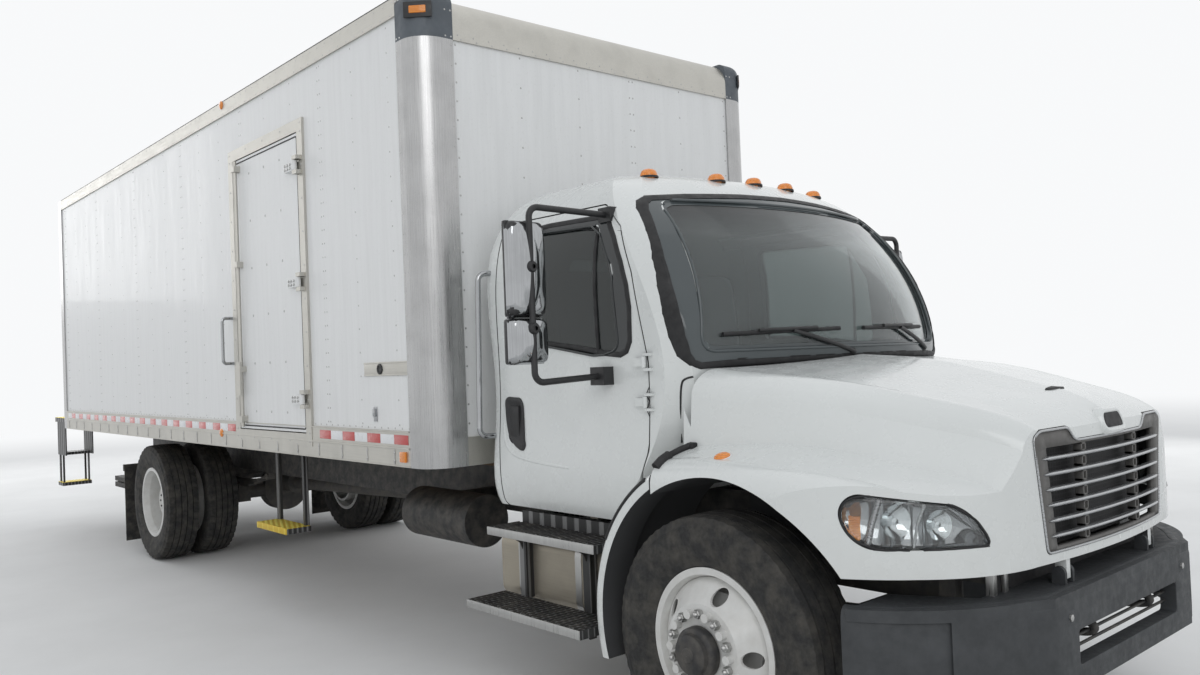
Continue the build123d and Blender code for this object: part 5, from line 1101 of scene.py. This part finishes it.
BADGE = rounded([(-0.084, -0.026), (0.084, -0.026), (0.074, 0.030), (-0.074, 0.030)], 0.026, 7)
BADGE_BOW = 0.055 / 0.0071 * 0.10
nose_low, nose, nose_high = (touch("hood", "front", 0.0, z) for z in (1.285, 1.312, 1.340))
slope = (nose_high - nose_low).normalized()
nose_out = Vector((0, -slope.z, slope.y))


def badge_ring(name, levels, finish, caps=()):
    """Rings of the badge's outline over the bonnet's nose, each grown and lifted."""
    loops = [[nose + Vector((flat.x, BADGE_BOW * flat.x * flat.x, 0)) + slope * flat.y
              + nose_out * lift for flat in grown(BADGE, grow)] for grow, lift in levels]
    skinned(name, loops, finish, "bonnet", caps=caps)


badge_ring("badge_rim", ((0.026, -0.016), (0.022, 0.004), (0.013, 0.013), (0.004, 0.013),
                         (0.0, 0.009), (0.0, -0.004)), "white_paint")
badge_ring("badge_plate", ((0.001, 0.002), (0.0, 0.0085), (-0.006, 0.010), (-0.012, 0.010)),
           "seal_black", (-1,))
slot = traced("hood", "top", [(x, AXLE_Y - 0.838) for x in row(-0.080, 0.080, 0.020)])
wide = [0.014 * math.sqrt(max(0.02, 1 - share * share)) for share in row(-1.0, 1.0, 0.25)]
skinned("bonnet_slot", [[at + Vector((0, -w, 0.0005)) for at, w in zip(slot, wide)],
                        [at + Vector((0, w, 0.0065)) for at, w in zip(slot, wide)]],
        "seal_black", "bonnet", closed=False, wall=0.006)

# Grille: bright rim, dark surround, six silver bars, square clips and mesh behind
GRILLE = [(-0.515, 0.880), (-0.570, 1.290), (-0.530, 1.316), (-0.345, 1.318), (-0.300, 1.268),
          (0.300, 1.268), (0.345, 1.318), (0.530, 1.316), (0.570, 1.290), (0.515, 0.880)]
OPENING_LOW = 0.902
OPENING_HIGH = 1.250
OPENING = [(-0.447, OPENING_LOW), (-0.490, OPENING_HIGH), (0.490, OPENING_HIGH),
           (0.447, OPENING_LOW)]
grille_line = spaced(rounded(GRILLE, 0.026, 5), 0.03)
bead_on("grille_rim", grown(grille_line, -0.006), "grille", "front", 0.0045, "grille_silver",
        "bonnet", 0.3)
places = [(x, touch("grille", "front", x, 0.906)) for x in row(-0.505, 0.505, 0.0404)]
FACE_ROW = [(x, at.y) for x, at in places if at is not None]


def grille_face(x):
    """How far forward the grille's face is at a place across it."""
    x = max(FACE_ROW[0][0], min(FACE_ROW[-1][0], x))
    for (x0, y0), (x1, y1) in zip(FACE_ROW, FACE_ROW[1:]):
        if x <= x1:
            return y0 + (y1 - y0) * (x - x0) / (x1 - x0)
    return FACE_ROW[-1][1]


shaped = bmesh.new()
for loop in (grown(grille_line, -0.003), spaced(rounded(OPENING, 0.008, 2), 0.03)):
    verts = [shaped.verts.new((p.x, 0.0, p.y)) for p in loop]
    for k in range(len(verts)):
        shaped.edges.new((verts[k - 1], verts[k]))
bmesh.ops.triangle_fill(shaped, use_beauty=True, edges=list(shaped.edges))
for vert in shaped.verts:
    vert.co.y = grille_face(vert.co.x) + 0.001
surround = from_bmesh("grille_surround", shaped, "grille_dark", "bonnet")
thick = surround.modifiers.new("wall", "SOLIDIFY")
thick.thickness = 0.026
thick.offset = -1.0 if surround.data.polygons[0].normal.y < 0 else 1.0
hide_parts("grille")

BAR_LEVELS = [0.941 + 0.0542 * k for k in range(6)]
BAR_SHAPE = [(0.016, -0.0065), (0.003, -0.0078), (-0.006, -0.0040), (-0.009, 0.0010),
             (-0.006, 0.0062), (0.003, 0.0078), (0.016, 0.0060)]
CLIP_X = 0.232
shaped = bmesh.new()
for level in BAR_LEVELS:
    reach = 0.447 + (level - OPENING_LOW) * 0.1236 + 0.034
    loops = []
    for x in row(-reach, reach, 0.035):
        end = min(1.0, (reach - abs(x)) / 0.012 + 0.25)
        loops.append([(x, grille_face(x) - 0.004 + back * end, level + rise * end)
                      for back, rise in BAR_SHAPE])
    skin(shaped, loops, caps=(0, -1))
from_bmesh("grille_bars", shaped, "grille_silver", "bonnet")
levels = [OPENING_LOW - 0.004] + BAR_LEVELS + [OPENING_HIGH + 0.004]
spans = []
for low, high in zip(levels, levels[1:]):
    z0 = low + 0.004
    z1 = high - 0.004
    hole = min(0.012, (z1 - z0) * 0.28)
    for x in (-CLIP_X, CLIP_X):
        y = grille_face(x) + 0.004
        for left, right, bottom, top in (
                (-0.019, -0.011, z0, z1), (0.011, 0.019, z0, z1),
                (-0.019, 0.019, z0, (z0 + z1) / 2 - hole), (-0.019, 0.019, (z0 + z1) / 2 + hole, z1)):
            spans.append(((x + left, y, bottom), (x + right, y + 0.030, top)))
boxes("grille_clips", spans, "grille_dark", 0.0015, "bonnet")
pairs = []
for share in row(-1.0, 1.0, 1 / 6):
    bow = 0.040 * (1 - share * share)
    pairs.append([(0.47 * share, AXLE_Y - 0.955 - bow, 0.900),
                  (0.51 * share, AXLE_Y - 0.950 - bow, 1.245)])
skinned("grille_mesh", pairs, "mesh_black", "bonnet", closed=False)

# Headlamps: clear cover, bowl, reflectors, amber segment and rim
LAMP_MIDDLE = Vector((0.960, AXLE_Y - 0.7725))
LAMP_ALONG = Vector((0.68, 0.733))
LAMP_ACROSS = Vector((0.733, -0.68))
LAMP_LOW = 0.946
LAMP_TALL = 0.187
LAMP_HALF = 0.246
LAMP_LINE = [(-1.0, 0.02), (0.0, 0.0), (0.49, 0.01), (0.80, 0.16), (0.95, 0.42), (0.985, 0.66),
             (0.90, 0.90), (0.68, 0.985), (0.20, 0.93), (-0.48, 0.80), (-0.82, 0.50),
             (-0.97, 0.20)]
REFLECTOR = ((0.016, 1.0), (0.012, 0.92), (0.000, 0.70), (-0.010, 0.40), (-0.012, 0.26),
             (0.010, 0.22), (0.014, 0.01))


def lamp_spot(side, share, lift, sink=0.0):
    """A place on the bonnet's form at a headlamp, by its share along and up."""
    flat = LAMP_MIDDLE + LAMP_ALONG.normalized() * (LAMP_HALF * share)
    start = flat + LAMP_ACROSS * 0.8
    z = LAMP_LOW + LAMP_TALL * lift
    inward = Vector((-side * LAMP_ACROSS.x, -LAMP_ACROSS.y, 0))
    at, _ = cast("headlamps", (side * start.x, start.y, z), inward)
    return (at or Vector((side * flat.x, flat.y, z))) + inward * sink


def lamp_sheet(name, side, spans, sink, finish, bulge=0.0, lifts=(0.0, 1.0), wall=0.0):
    """A curved sheet between two shares along the lamp, held inside its outline."""
    line = [Vector(p) for p in LAMP_LINE]
    grid = []
    for k in range(19):
        share = spans[0] + (spans[1] - spans[0]) * k / 18
        cross = [here.y + (after.y - here.y) * (share - here.x) / (after.x - here.x)
                 for here, after in zip(line, line[1:] + line[:1])
                 if (here.x - share) * (after.x - share) <= 0 and here.x != after.x]
        low, high = (min(cross), max(cross)) if len(cross) > 1 else (0.3, 0.3)
        grid.append([lamp_spot(side, share, low + 0.02 + (high - low - 0.04)
                               * (lifts[0] + (lifts[1] - lifts[0]) * m / 8),
                               sink + bulge * (1 - (2 * m / 8 - 1) ** 2)) for m in range(9)])
    return skinned(name, grid, finish, "bonnet", closed=False, merge=0.0002, wall=wall)


rim_line = spaced(rounded(LAMP_LINE, 0.1, 3), 0.2)
for side, label in SIDES:
    lamp_sheet(f"lamp_cover_{label}", side, (-0.99, 0.98), 0.004, "lamp_lens", wall=0.003)
    lamp_sheet(f"lamp_bowl_{label}", side, (-0.95, 0.95), 0.030, "chrome", 0.035)
    lamp_sheet(f"lamp_amber_{label}", side, (0.70, 0.85), 0.022, "amber", 0.010, (0.05, 0.56))
    pipe(f"lamp_rim_{label}", [lamp_spot(side, *p, 0.003) for p in rim_line], 0.0048,
         "seal_black", "bonnet", closed=True)
    for number, (share, lift, size) in enumerate(((-0.30, 0.42, 0.050), (0.26, 0.50, 0.056))):
        levels = [(out, reach * size) for out, reach in REFLECTOR]
        skinned(f"lamp_reflector_{number}_{label}",
                rings(lamp_spot(side, share, lift, 0.034), (side * 0.42, -0.90, 0.04), levels, 28),
                "mirror_glass", "bonnet")
    for part, sink, radius, line in (
            ("", 0.016, 0.011, ((0.62, 0.10), (0.56, 0.45), (0.44, 0.93))),
            ("_small", 0.018, 0.005, ((0.02, 0.06), (-0.04, 0.45), (-0.16, 0.84)))):
        pipe(f"lamp_divider{part}_{label}", [lamp_spot(side, *p, sink) for p in line], radius,
             "grille_silver", "bonnet")
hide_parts("headlamps")

# Bumper: bolts, tow hooks, bars, brackets, and a skin with a rolled edge and swept ends
BUMPER_FACE = BOX["front_bumper"][0][1]
BUMPER_BASE = BOX["front_bumper"][0][2]
BOLT_X = 0.52
HOOK = [(0.20, 0.560), (0.06, 0.560), (0.02, 0.585), (0.05, 0.610), (0.11, 0.600)]
boxes("bumper_bolts_plate", [((x - 0.030, BUMPER_FACE - 0.003, 0.655),
                              (x + 0.030, BUMPER_FACE + 0.004, 0.705))
                             for x in (-BOLT_X, BOLT_X)], "bumper_dark", 0.003)
shaped = bmesh.new()
for x in (-BOLT_X, BOLT_X):
    add_hex(shaped, (x, BUMPER_FACE - 0.003, 0.68), AHEAD, 0.013, 0.008)
from_bmesh("bumper_bolts", shaped, "steel")
for side, label in SIDES:
    pipe(f"tow_hook_{label}", [(side * 0.26, BUMPER_FACE + y, z) for y, z in HOOK], 0.015,
         "frame_black", kind="NURBS")
for number, z in enumerate((0.545, 0.580)):
    pipe(f"bumper_bar_{number}", [(x, BUMPER_FACE + 0.045, z) for x in (-0.45, -0.15, 0.15, 0.45)],
         0.006, "frame_black")
boxes("nose_brackets", [((x - 0.014, AXLE_Y - 0.915, 0.755), (x + 0.014, AXLE_Y - 0.885, 0.840))
                        for x in (-0.62, -0.70, 0.62, 0.70)], "steel", 0.004)
boxes("air_dam", [((-0.70, AXLE_Y - 0.900, 0.700), (0.70, AXLE_Y - 0.890, 0.842))], "seal_black",
      0.003)
BUMPER_LINE = [(-1.165, -0.630), (-1.150, -0.672), (-1.095, -0.756), (-1.030, -0.832),
               (-0.955, -0.902), (-0.870, -0.965), (-0.785, -1.016), (-0.700, -1.055),
               (-0.660, -1.078), (-0.620, -1.100), (-0.455, -1.100), (-0.150, -1.100)]
BUMPER_ROWS = [(0.000, 0.030), (0.010, 0.010), (0.028, 0.001), (0.080, 0.000), (0.200, 0.000),
               (0.290, 0.000), (0.312, 0.004), (0.328, 0.014), (0.337, 0.030), (0.339, 0.060)]
SLOT_HALF = 0.455
line = [Vector(p) for p in BUMPER_LINE + [(-x, y) for x, y in reversed(BUMPER_LINE)]]
grid = []
for k, here in enumerate(line):
    run = (line[min(len(line) - 1, k + 1)] - line[max(0, k - 1)]).normalized()
    column = []
    for rise, inset in BUMPER_ROWS:
        place = here + Vector((run.y, -run.x)) * (0.0025 - inset)
        column.append((place.x, BUMPER_FACE + 1.100 + place.y, BUMPER_BASE + rise))
    grid.append(column)
shaped = bmesh.new()
rows = skin(shaped, grid, closed=False)
for k in range(len(line) - 1):
    if abs(line[k].x + line[k + 1].x) / 2 < SLOT_HALF:
        window = {rows[k][3], rows[k + 1][3], rows[k + 1][4], rows[k][4]}
        for face in [face for face in rows[k][3].link_faces if set(face.verts) == window]:
            shaped.faces.remove(face)
bumper = from_bmesh("bumper_skin", shaped, "bumper_dark")
thick = bumper.modifiers.new("wall", "SOLIDIFY")
thick.thickness = 0.006
thick.offset = -1.0
soften = bumper.modifiers.new("round", "BEVEL")
soften.width = 0.003
soften.segments = 2
soften.limit_method = "ANGLE"

# Wheels: hubs, nuts and hub bolts
NUTS = 10
NUT_CIRCLE = 0.1425
HUB_CIRCLE = 0.066
for side, label in SIDES:
    out = Vector((side, 0, 0))
    at = touch(f"front_wheel_{label}", label, FRONT_AXLE.y + 0.01, FRONT_AXLE.z + 0.01)
    lathe(f"front_hub_{label}", (at.x, FRONT_AXLE.y, FRONT_AXLE.z),
          [(-0.030, 0.098), (0.000, 0.096), (0.008, 0.090), (0.012, 0.078), (0.030, 0.074),
           (0.036, 0.066), (0.040, 0.050), (0.040, 0.030), (0.044, 0.026), (0.046, 0.0004)],
          "frame_black", 48, flip=side, body=f"front_wheel_{label}")
    for axle, centre, node in (("front", FRONT_AXLE, f"front_wheel_{label}"),
                               ("rear", REAR_AXLE, f"rear_wheels_{label}")):
        nuts = bmesh.new()
        for angle in turns(NUTS, 0.5):
            at = touch(node, label, centre.y + NUT_CIRCLE * math.cos(angle),
                       centre.z + NUT_CIRCLE * math.sin(angle))
            add_hex(nuts, at - out * 0.001, out, 0.019, 0.026)
            add_dome(nuts, at + out * 0.024, out, 0.011, 0.012, 10, 3, 0.001)
        from_bmesh(f"{axle}_nuts_{label}", nuts, "steel", node)
        bolts = bmesh.new()
        for at in traced(node, label, [(centre.y + HUB_CIRCLE * math.cos(angle),
                                        centre.z + HUB_CIRCLE * math.sin(angle))
                                       for angle in turns(8)]):
            add_hex(bolts, at - out * 0.001, out, 0.0095, 0.008)
        if bolts.verts:
            from_bmesh(f"{axle}_hub_bolts_{label}", bolts, "frame_black", node)
        else:
            bolts.free()

# Cowl below the windshield
columns = [traced("cab_shell", "front", [(x, z) for z in (1.490, 1.520, 1.550, 1.580, 1.600)])
           for x in row(-0.84, 0.84, 0.06)]
skinned("cowl_panel", [[at + Vector((0, -0.004, 0.002)) for at in column] for column in columns],
        "seal_black", closed=False)

# Treads: bright nosings, gussets, tank bands and yellow grips
UPPER_STEP = 1.165
LOWER_STEP = 1.260
STEP_Y = (AXLE_Y + 0.640, AXLE_Y + 1.500)
WEB = [(1.002, 0.700), (1.002, 0.780), (1.140, 0.780), (1.100, 0.768), (1.060, 0.740),
       (1.042, 0.700)]
TANK_BAND = rounded([(0.470, 0.430), (1.000, 0.430), (1.000, 0.770), (0.470, 0.770)], 0.075, 6)
tank_low, tank_high = BOX["side_tanks"]
for side, label in SIDES:
    boxes(f"step_nosing_{label}",
          [((side * x, STEP_Y[0], z), (side * (x + 0.004), STEP_Y[1] - inset, z + 0.039))
           for x, z, inset in ((UPPER_STEP, 0.783, 0.060), (LOWER_STEP, 0.438, 0.0))],
          "steel", 0.0015)
    boxes(f"step_grips_{label}",
          [((side * x0, y - 0.0035, z - 0.001), (side * x1, y + 0.0035, z + 0.004))
           for x0, x1, z, inset in ((0.985, UPPER_STEP - 0.010, 0.820, 0.080),
                                    (1.040, LOWER_STEP - 0.010, 0.475, 0.020))
           for y in row(STEP_Y[0] + 0.02, STEP_Y[1] - inset, 0.031)], "frame_black", 0.001)
    for number, y in enumerate((STEP_Y[0] + 0.200, STEP_Y[1] - 0.180)):
        shaped = bmesh.new()
        for drop in (0.0, 0.345):
            skin(shaped, [[(side * x, y + plane, z - drop) for x, z in WEB]
                          for plane in (-0.004, 0.004)], caps=(0, 1))
        from_bmesh(f"step_gusset_{number}_{label}", shaped, "frame_black")
    for number, y in enumerate((tank_low[1] + 0.17, tank_high[1] - 0.17)):
        skinned(f"tank_band_{number}_{label}",
                [[(side * p.x, y + plane, p.y) for p in grown(TANK_BAND, lift)] for plane, lift in
                 ((-0.022, 0.0), (-0.022, 0.003), (0.022, 0.003), (0.022, 0.0))], "steel")
    lathe(f"tank_cap_{label}", (side * 0.700, tank_low[1] + 0.36, 0.770),
          [(0.0, 0.048), (0.018, 0.048), (0.022, 0.044), (0.024, 0.020), (0.030, 0.016),
           (0.031, 0.0004)], "black_plastic", axis=2)
    low, high = BOX["rear_steps"]
    inner = side * (HALF_BOX - 0.290)
    outer = side * HALF_BOX
    boxes(f"rear_step_grips_{label}", [
        ((inner, BOX_REAR + 0.010, high[2] - 0.004), (outer, high[1] - 0.002, high[2] + 0.003)),
        ((inner, BOX_REAR + 0.155, 0.480), (outer, high[1] - 0.065, 0.489)),
        ((inner, high[1] - 0.004, high[2] - 0.048), (outer, high[1] + 0.003, high[2] + 0.003)),
    ], "tread_yellow")
low, high = BOX["side_step"]
boxes("side_step_grip", [((low[0] - x0, low[1] + 0.062, z0), (low[0] + x1, high[1] - 0.062, z1))
                         for x0, x1, z0, z1 in ((0.001, 0.160, 0.590, 0.603),
                                                (0.004, 0.003, 0.563, 0.604))], "tread_yellow")

# Rear: rivets, latch, handle, strap, lamps and a bare plate
(door_left, _, sill), (door_right, face, door_top) = BOX["rollup_door"]
rivets("rollup_rivets", [((x, face, sill + (door_top - sill) * index / 6 + lift), BEHIND)
                         for index in range(6) for x in row(door_left + 0.08, door_right - 0.08,
                                                            0.37) for lift in (0.035, 0.325)],
       0.007, 0.0025)
boxes("rollup_latch", [((-x, face + y0, sill + z0), (x, face + y1, sill + z1))
                       for x, y0, y1, z0, z1 in ((0.070, 0.0, 0.012, 0.06, 0.20),
                                                 (0.018, 0.010, 0.030, 0.03, 0.23),
                                                 (0.110, 0.008, 0.020, 0.115, 0.135))],
      "steel", 0.003)
pipe("rollup_handle", [(x, face + y, sill + 0.26) for x, y in ((-0.42, 0.0), (-0.42, 0.04),
                                                               (-0.26, 0.04), (-0.26, 0.0))],
     0.009, "steel")
pipe("rollup_strap", [(x, face + y, sill + z) for x, y, z in ((-0.34, 0.03, 0.25),
                                                              (-0.345, 0.035, 0.12),
                                                              (-0.335, 0.03, -0.02))],
     0.006, "rubber", kind="NURBS")
boxes("rollup_bottom_seal", [((door_left, face - 0.02, sill), (door_right, face + 0.004,
                                                               sill + 0.03))], "seal_black", 0.006)


def on_rear(x, half, low, high, out, sunk=0.001):
    """The span of a box on the rear face."""
    return (x - half, BOX_REAR - sunk, low), (x + half, BOX_REAR + out, high)


films = {"red": [], "white": []}
for side, label in SIDES:
    for number, x in enumerate(row(0.80, 1.22, 0.14)):
        films["white" if number % 2 else "red"].append(
            on_rear(side * x, 0.068, RAIL_LOW + 0.105, RAIL_LOW + 0.150, 0.0012, 0.0005))
    films["white"].append(on_rear(side * (HALF_BOX - 0.055), 0.025, BOX_TOP - 0.36, BOX_TOP - 0.06,
                                  0.0012, 0.0005))
    boxes(f"rear_top_lamp_{label}", [on_rear(side * 0.95, 0.055, BOX_TOP - 0.124, BOX_TOP - 0.076,
                                             0.020)], "red_lens", 0.010)
for number, x in enumerate((-0.20, 0.0, 0.20)):
    boxes(f"rear_middle_lamp_{number}", [on_rear(x, 0.045, BOX_TOP - 0.120, BOX_TOP - 0.080, 0.018)],
          "red_lens", 0.009)
for colour, spans in films.items():
    boxes(f"rear_film_{colour}", spans, f"{colour}_film", 0.0005)
boxes("rear_plate", [on_rear(0.0, 0.150, RAIL_LOW - 0.050, RAIL_LOW + 0.100, 0.004, 0.0)],
      "white_film", 0.001)
rivets("rear_post_rivets", [((side * (HALF_BOX - inset), BOX_REAR, z), BEHIND)
                            for side, _ in SIDES for z in row(RAIL_LOW + 0.25, BOX_TOP - 0.20, 0.20)
                            for inset in (0.018, 0.094)])

# Cab inside: dashboard, vents, dials and steering wheel
DASH_Y = AXLE_Y + 0.420
DRIVER_X = 0.43
DASH = [(0.004, 1.190), (0.000, 1.470), (0.030, 1.535), (0.110, 1.556), (0.215, 1.540),
        (0.262, 1.500), (0.300, 1.430), (0.318, 1.350), (0.300, 1.250), (0.250, 1.190)]
loops = []
for x in row(-0.870, 0.870, 0.058):
    hood_rise = 0.030 * math.exp(-((x - DRIVER_X) / 0.20) ** 4)
    cluster = 0.020 * math.exp(-((x - DRIVER_X) / 0.19) ** 4)
    loops.append([(x, DASH_Y + y - (cluster if 1.30 < z < 1.49 and y > 0.2 else 0.0),
                   z + (hood_rise if z > 1.49 else 0.0)) for y, z in DASH])
dash = skinned("cab_dashboard", loops, "interior_grey", caps=(0, -1))
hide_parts("cab_interior")
boxes("cab_dash_vents", [((x - 0.045, DASH_Y + 0.285, 1.405 + 0.016 * k),
                          (x + 0.045, DASH_Y + 0.315, 1.412 + 0.016 * k))
                         for x in (-0.78, -0.30, -0.12, 0.12, 0.76) for k in range(4)],
      "black_plastic")
for number, x in enumerate((0.34, 0.43, 0.52)):
    lathe(f"cab_gauge_{number}", (x, DASH_Y + 0.262, 1.455),
          [(0.0, 0.040), (0.008, 0.040), (0.010, 0.036), (0.003, 0.034), (0.003, 0.0004)],
          "black_plastic", 28, 1)
HELM = Vector((DRIVER_X, AXLE_Y + 0.900, 1.520))
HELM_UP = Vector((0.0, 0.55, 0.835)).normalized()
pipe("cab_wheel_rim", rings(HELM, HELM_UP, [(0.0, 0.220)], 40)[0], 0.0145, "black_plastic",
     closed=True)
_, helm_u, helm_v = frame_of(HELM_UP)
for number, turn in enumerate((0.35, 2.79, 4.71)):
    reach = helm_u * math.cos(turn) + helm_v * math.sin(turn)
    pipe(f"cab_wheel_spoke_{number}", [HELM - HELM_UP * drop + reach * out for drop, out in
                                       ((0.030, 0.03), (0.024, 0.12), (0.0, 0.215))],
         0.012, "black_plastic")
domes("cab_wheel_hub", [(HELM - HELM_UP * 0.040, HELM_UP)], 0.070, 0.040, "black_plastic", 28, 5)
pipe("cab_column", [(DRIVER_X, DASH_Y + 0.24, 1.375), HELM - HELM_UP * 0.035], 0.030,
     "black_plastic")


# Seats with sewn cushions

def cushion(name, centre, size, crown, channels, tilt=0.0, upright=False, pull=0.03):
    """A sewn pad: crowned faces, sides pulled in, channels across it and a seam round it."""
    width, length, deep = size

    def set_in(place):
        if upright:
            place = Vector((place.x, -place.z, place.y))
        place.rotate(Matrix.Rotation(math.radians(tilt), 3, "X"))
        return Vector(centre) + place

    shaped = bmesh.new()
    bmesh.ops.create_cube(shaped, size=2.0)
    bmesh.ops.subdivide_edges(shaped, edges=shaped.edges[:], cuts=17, use_grid_fill=True)
    for vert in shaped.verts:
        u, v, w = vert.co
        soft = max((abs(u) ** 7 + abs(v) ** 7 + abs(w) ** 4) ** (1 / 7), 1.0)
        u, v, w = u / soft, v / soft, w / soft
        groove = sum(math.exp(-((v - place) / 0.035) ** 2) for place in channels)
        lip = math.exp(-((max(abs(u), abs(v)) - 0.90) / 0.05) ** 2)
        thick = w * (deep / 2 + crown * (1 - u * u) * (1 - v * v)
                     - (0.008 * groove + 0.004 * lip) * abs(w))
        waist = 1 - pull * (1 - w * w)
        vert.co = set_in(Vector((u * width / 2 * (1 - pull * 0.6 * (1 - v * v)) * waist,
                                 v * length / 2 * (1 - pull * 0.6 * (1 - u * u)) * waist, thick)))
    made = from_bmesh(name, shaped, "seat_cloth")
    soften = made.modifiers.new("soften", "SUBSURF")
    soften.levels = 1
    soften.render_levels = 1
    edge = []
    for angle in turns(48):
        u, v = (math.copysign(abs(part) ** 0.25, part) for part in (math.cos(angle),
                                                                    math.sin(angle)))
        edge.append(set_in(Vector((u * width / 2 * 0.945, v * length / 2 * 0.945,
                                   deep / 2 * 0.90))))
    pipe(f"{name}_piping", edge, 0.005, "black_plastic", closed=True)


SEAT_X = 0.480
SEAT_BASE = ((0.200, 1.010, 1.350, 1.072, 1.110), (0.160, 1.040, 1.320, 1.105, 1.300),
             (0.210, 0.990, 1.370, 1.300, 1.345))
BELT = ((0.235, 1.490, 2.05), (0.236, 1.440, 1.75), (0.262, 1.340, 1.40), (0.262, 1.300, 1.15))
for side, label in SIDES:
    x = side * SEAT_X
    cushion(f"seat_cushion_{label}", (x, AXLE_Y + 1.190, 1.400), (0.500, 0.490, 0.130), 0.012,
            (-0.45, 0.0, 0.45))
    cushion(f"seat_back_{label}", (x, AXLE_Y + 1.430, 1.765), (0.470, 0.680, 0.105), 0.008,
            (-0.55, -0.2, 0.15, 0.50), -6.0, True)
    boxes(f"seat_base_{label}", [((x - half, AXLE_Y + y0, z0), (x + half, AXLE_Y + y1, z1))
                                 for half, y0, y1, z0, z1 in SEAT_BASE], "interior_grey", 0.010)
    skinned(f"seat_belt_{label}", [[(x + side * out, AXLE_Y + y + edge, z)
                                    for edge in (-0.022, 0.022)] for out, y, z in BELT],
            "seal_black", closed=False, wall=0.0015)

# Roof: sheet seams over the bows
(_, roof_start, _), (_, roof_end, roof_top) = BOX["box_roof"]
boxes("roof_seams", [((-1.20, y - 0.012, roof_top - 0.001), (1.20, y + 0.012, roof_top + 0.003))
                     for y in row(roof_start + 0.25, roof_end - 0.2, 0.61)], "roof_white", 0.001)

# Camera
CAMERA_AT = (-3.8806, AXLE_Y - 2.5616, 1.6278)
YAW, PITCH, ROLL = (math.radians(angle) for angle in (-41.163, 1.164, -2.326))
IMAGE_WIDTH = 1200.0
FOCAL_PIXELS = 974.38
lens = bpy.data.cameras.new("camera")
lens.sensor_width = 36.0
lens.lens = FOCAL_PIXELS / IMAGE_WIDTH * lens.sensor_width
lens.clip_end = 400.0
camera = bpy.data.objects.new("camera", lens)
bpy.context.scene.collection.objects.link(camera)
ahead = Vector((-math.sin(YAW) * math.cos(PITCH), math.cos(YAW) * math.cos(PITCH), math.sin(PITCH)))
right = Vector((math.cos(YAW), math.sin(YAW), 0.0))
above = right.cross(ahead)
axes = (right * math.cos(ROLL) + above * math.sin(ROLL),
        above * math.cos(ROLL) - right * math.sin(ROLL), -ahead, CAMERA_AT)
camera.matrix_world = Matrix([[axis[k] for axis in axes] for k in range(3)]
                             + [[0.0, 0.0, 0.0, 1.0]])
bpy.context.scene.camera = camera
bpy.context.scene.view_settings.view_transform = "Standard"

# Light
BACKDROP = (0.94, 0.95, 0.96)
world = bpy.data.worlds.new("studio")
bpy.context.scene.world = world
world.use_nodes = True
world.node_tree.nodes.clear()
sky = Graph(world.node_tree)
fill = sky.add("Background", {"Color": (0.93, 0.96, 1.0), "Strength": 0.66})
shown = sky.add("Background", {"Color": BACKDROP, "Strength": 1.0})
sky.add("OutputWorld", {"Surface": sky.add("MixShader", {0: sky.seen_ray(), 1: fill, 2: shown})})


def area_light(name, at, towards, size, power, mirrored=True):
    """A large soft lamp, which gloss paint may or may not mirror."""
    data = bpy.data.lights.new(name, "AREA")
    data.shape = "RECTANGLE"
    data.size, data.size_y = size
    data.energy = power
    lamp = bpy.data.objects.new(name, data)
    lamp.location = at
    lamp.visible_glossy = mirrored
    lamp.rotation_mode = "QUATERNION"
    lamp.rotation_quaternion = (Vector(towards) - Vector(at)).to_track_quat("-Z", "Y")
    bpy.context.scene.collection.objects.link(lamp)


area_light("key", (-9.0, AXLE_Y - 9.0, 9.0), (0.0, -2.0, 1.6), (9.0, 7.0), 380.0)
area_light("overhead", (0.0, 0.5, 13.0), (0.0, 0.5, 0.0), (12.0, 16.0), 120.0)
area_light("side_fill", (11.0, -1.0, 6.0), (0.0, 0.0, 1.6), (8.0, 10.0), 260.0, False)
area_light("rear_fill", (-2.0, 14.0, 6.0), (0.0, 3.0, 1.8), (8.0, 6.0), 300.0)

# Floor that fades into the backdrop
REACH = 120.0
floor_mesh = bpy.data.meshes.new("floor")
floor_mesh.from_pydata([(-REACH, -REACH, 0), (REACH, -REACH, 0), (REACH, REACH, 0),
                        (-REACH, REACH, 0)], [], [(0, 1, 2, 3)])
floor = bpy.data.objects.new("floor", floor_mesh)
bpy.context.scene.collection.objects.link(floor)
ground = Finish("floor", (0.80, 0.80, 0.79), 0.9)
ground.set({"Base Color": ground.ramp(ground.noise(0.8, 6.0), (0.77, 0.77, 0.76),
                                      (0.82, 0.82, 0.81))})
distance = ground.add("VectorMath", {0: ground.where()}, "Value", operation="LENGTH")
fade = ground.add("MapRange", {"Value": distance, "From Min": 8.0, "From Max": 26.0}, "Result",
                  interpolation_type="SMOOTHSTEP")
blend = ground.add("MixShader", {0: ground.times(ground.seen_ray(), fade),
                                 1: ground.shader.outputs["BSDF"],
                                 2: ground.add("Emission", {"Color": BACKDROP})})
surface = [node for node in ground.tree.nodes if node.type == "OUTPUT_MATERIAL"][0]
ground.feed(surface.inputs["Surface"], blend)
floor_mesh.materials.append(ground.made)
floor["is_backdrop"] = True

low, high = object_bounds()
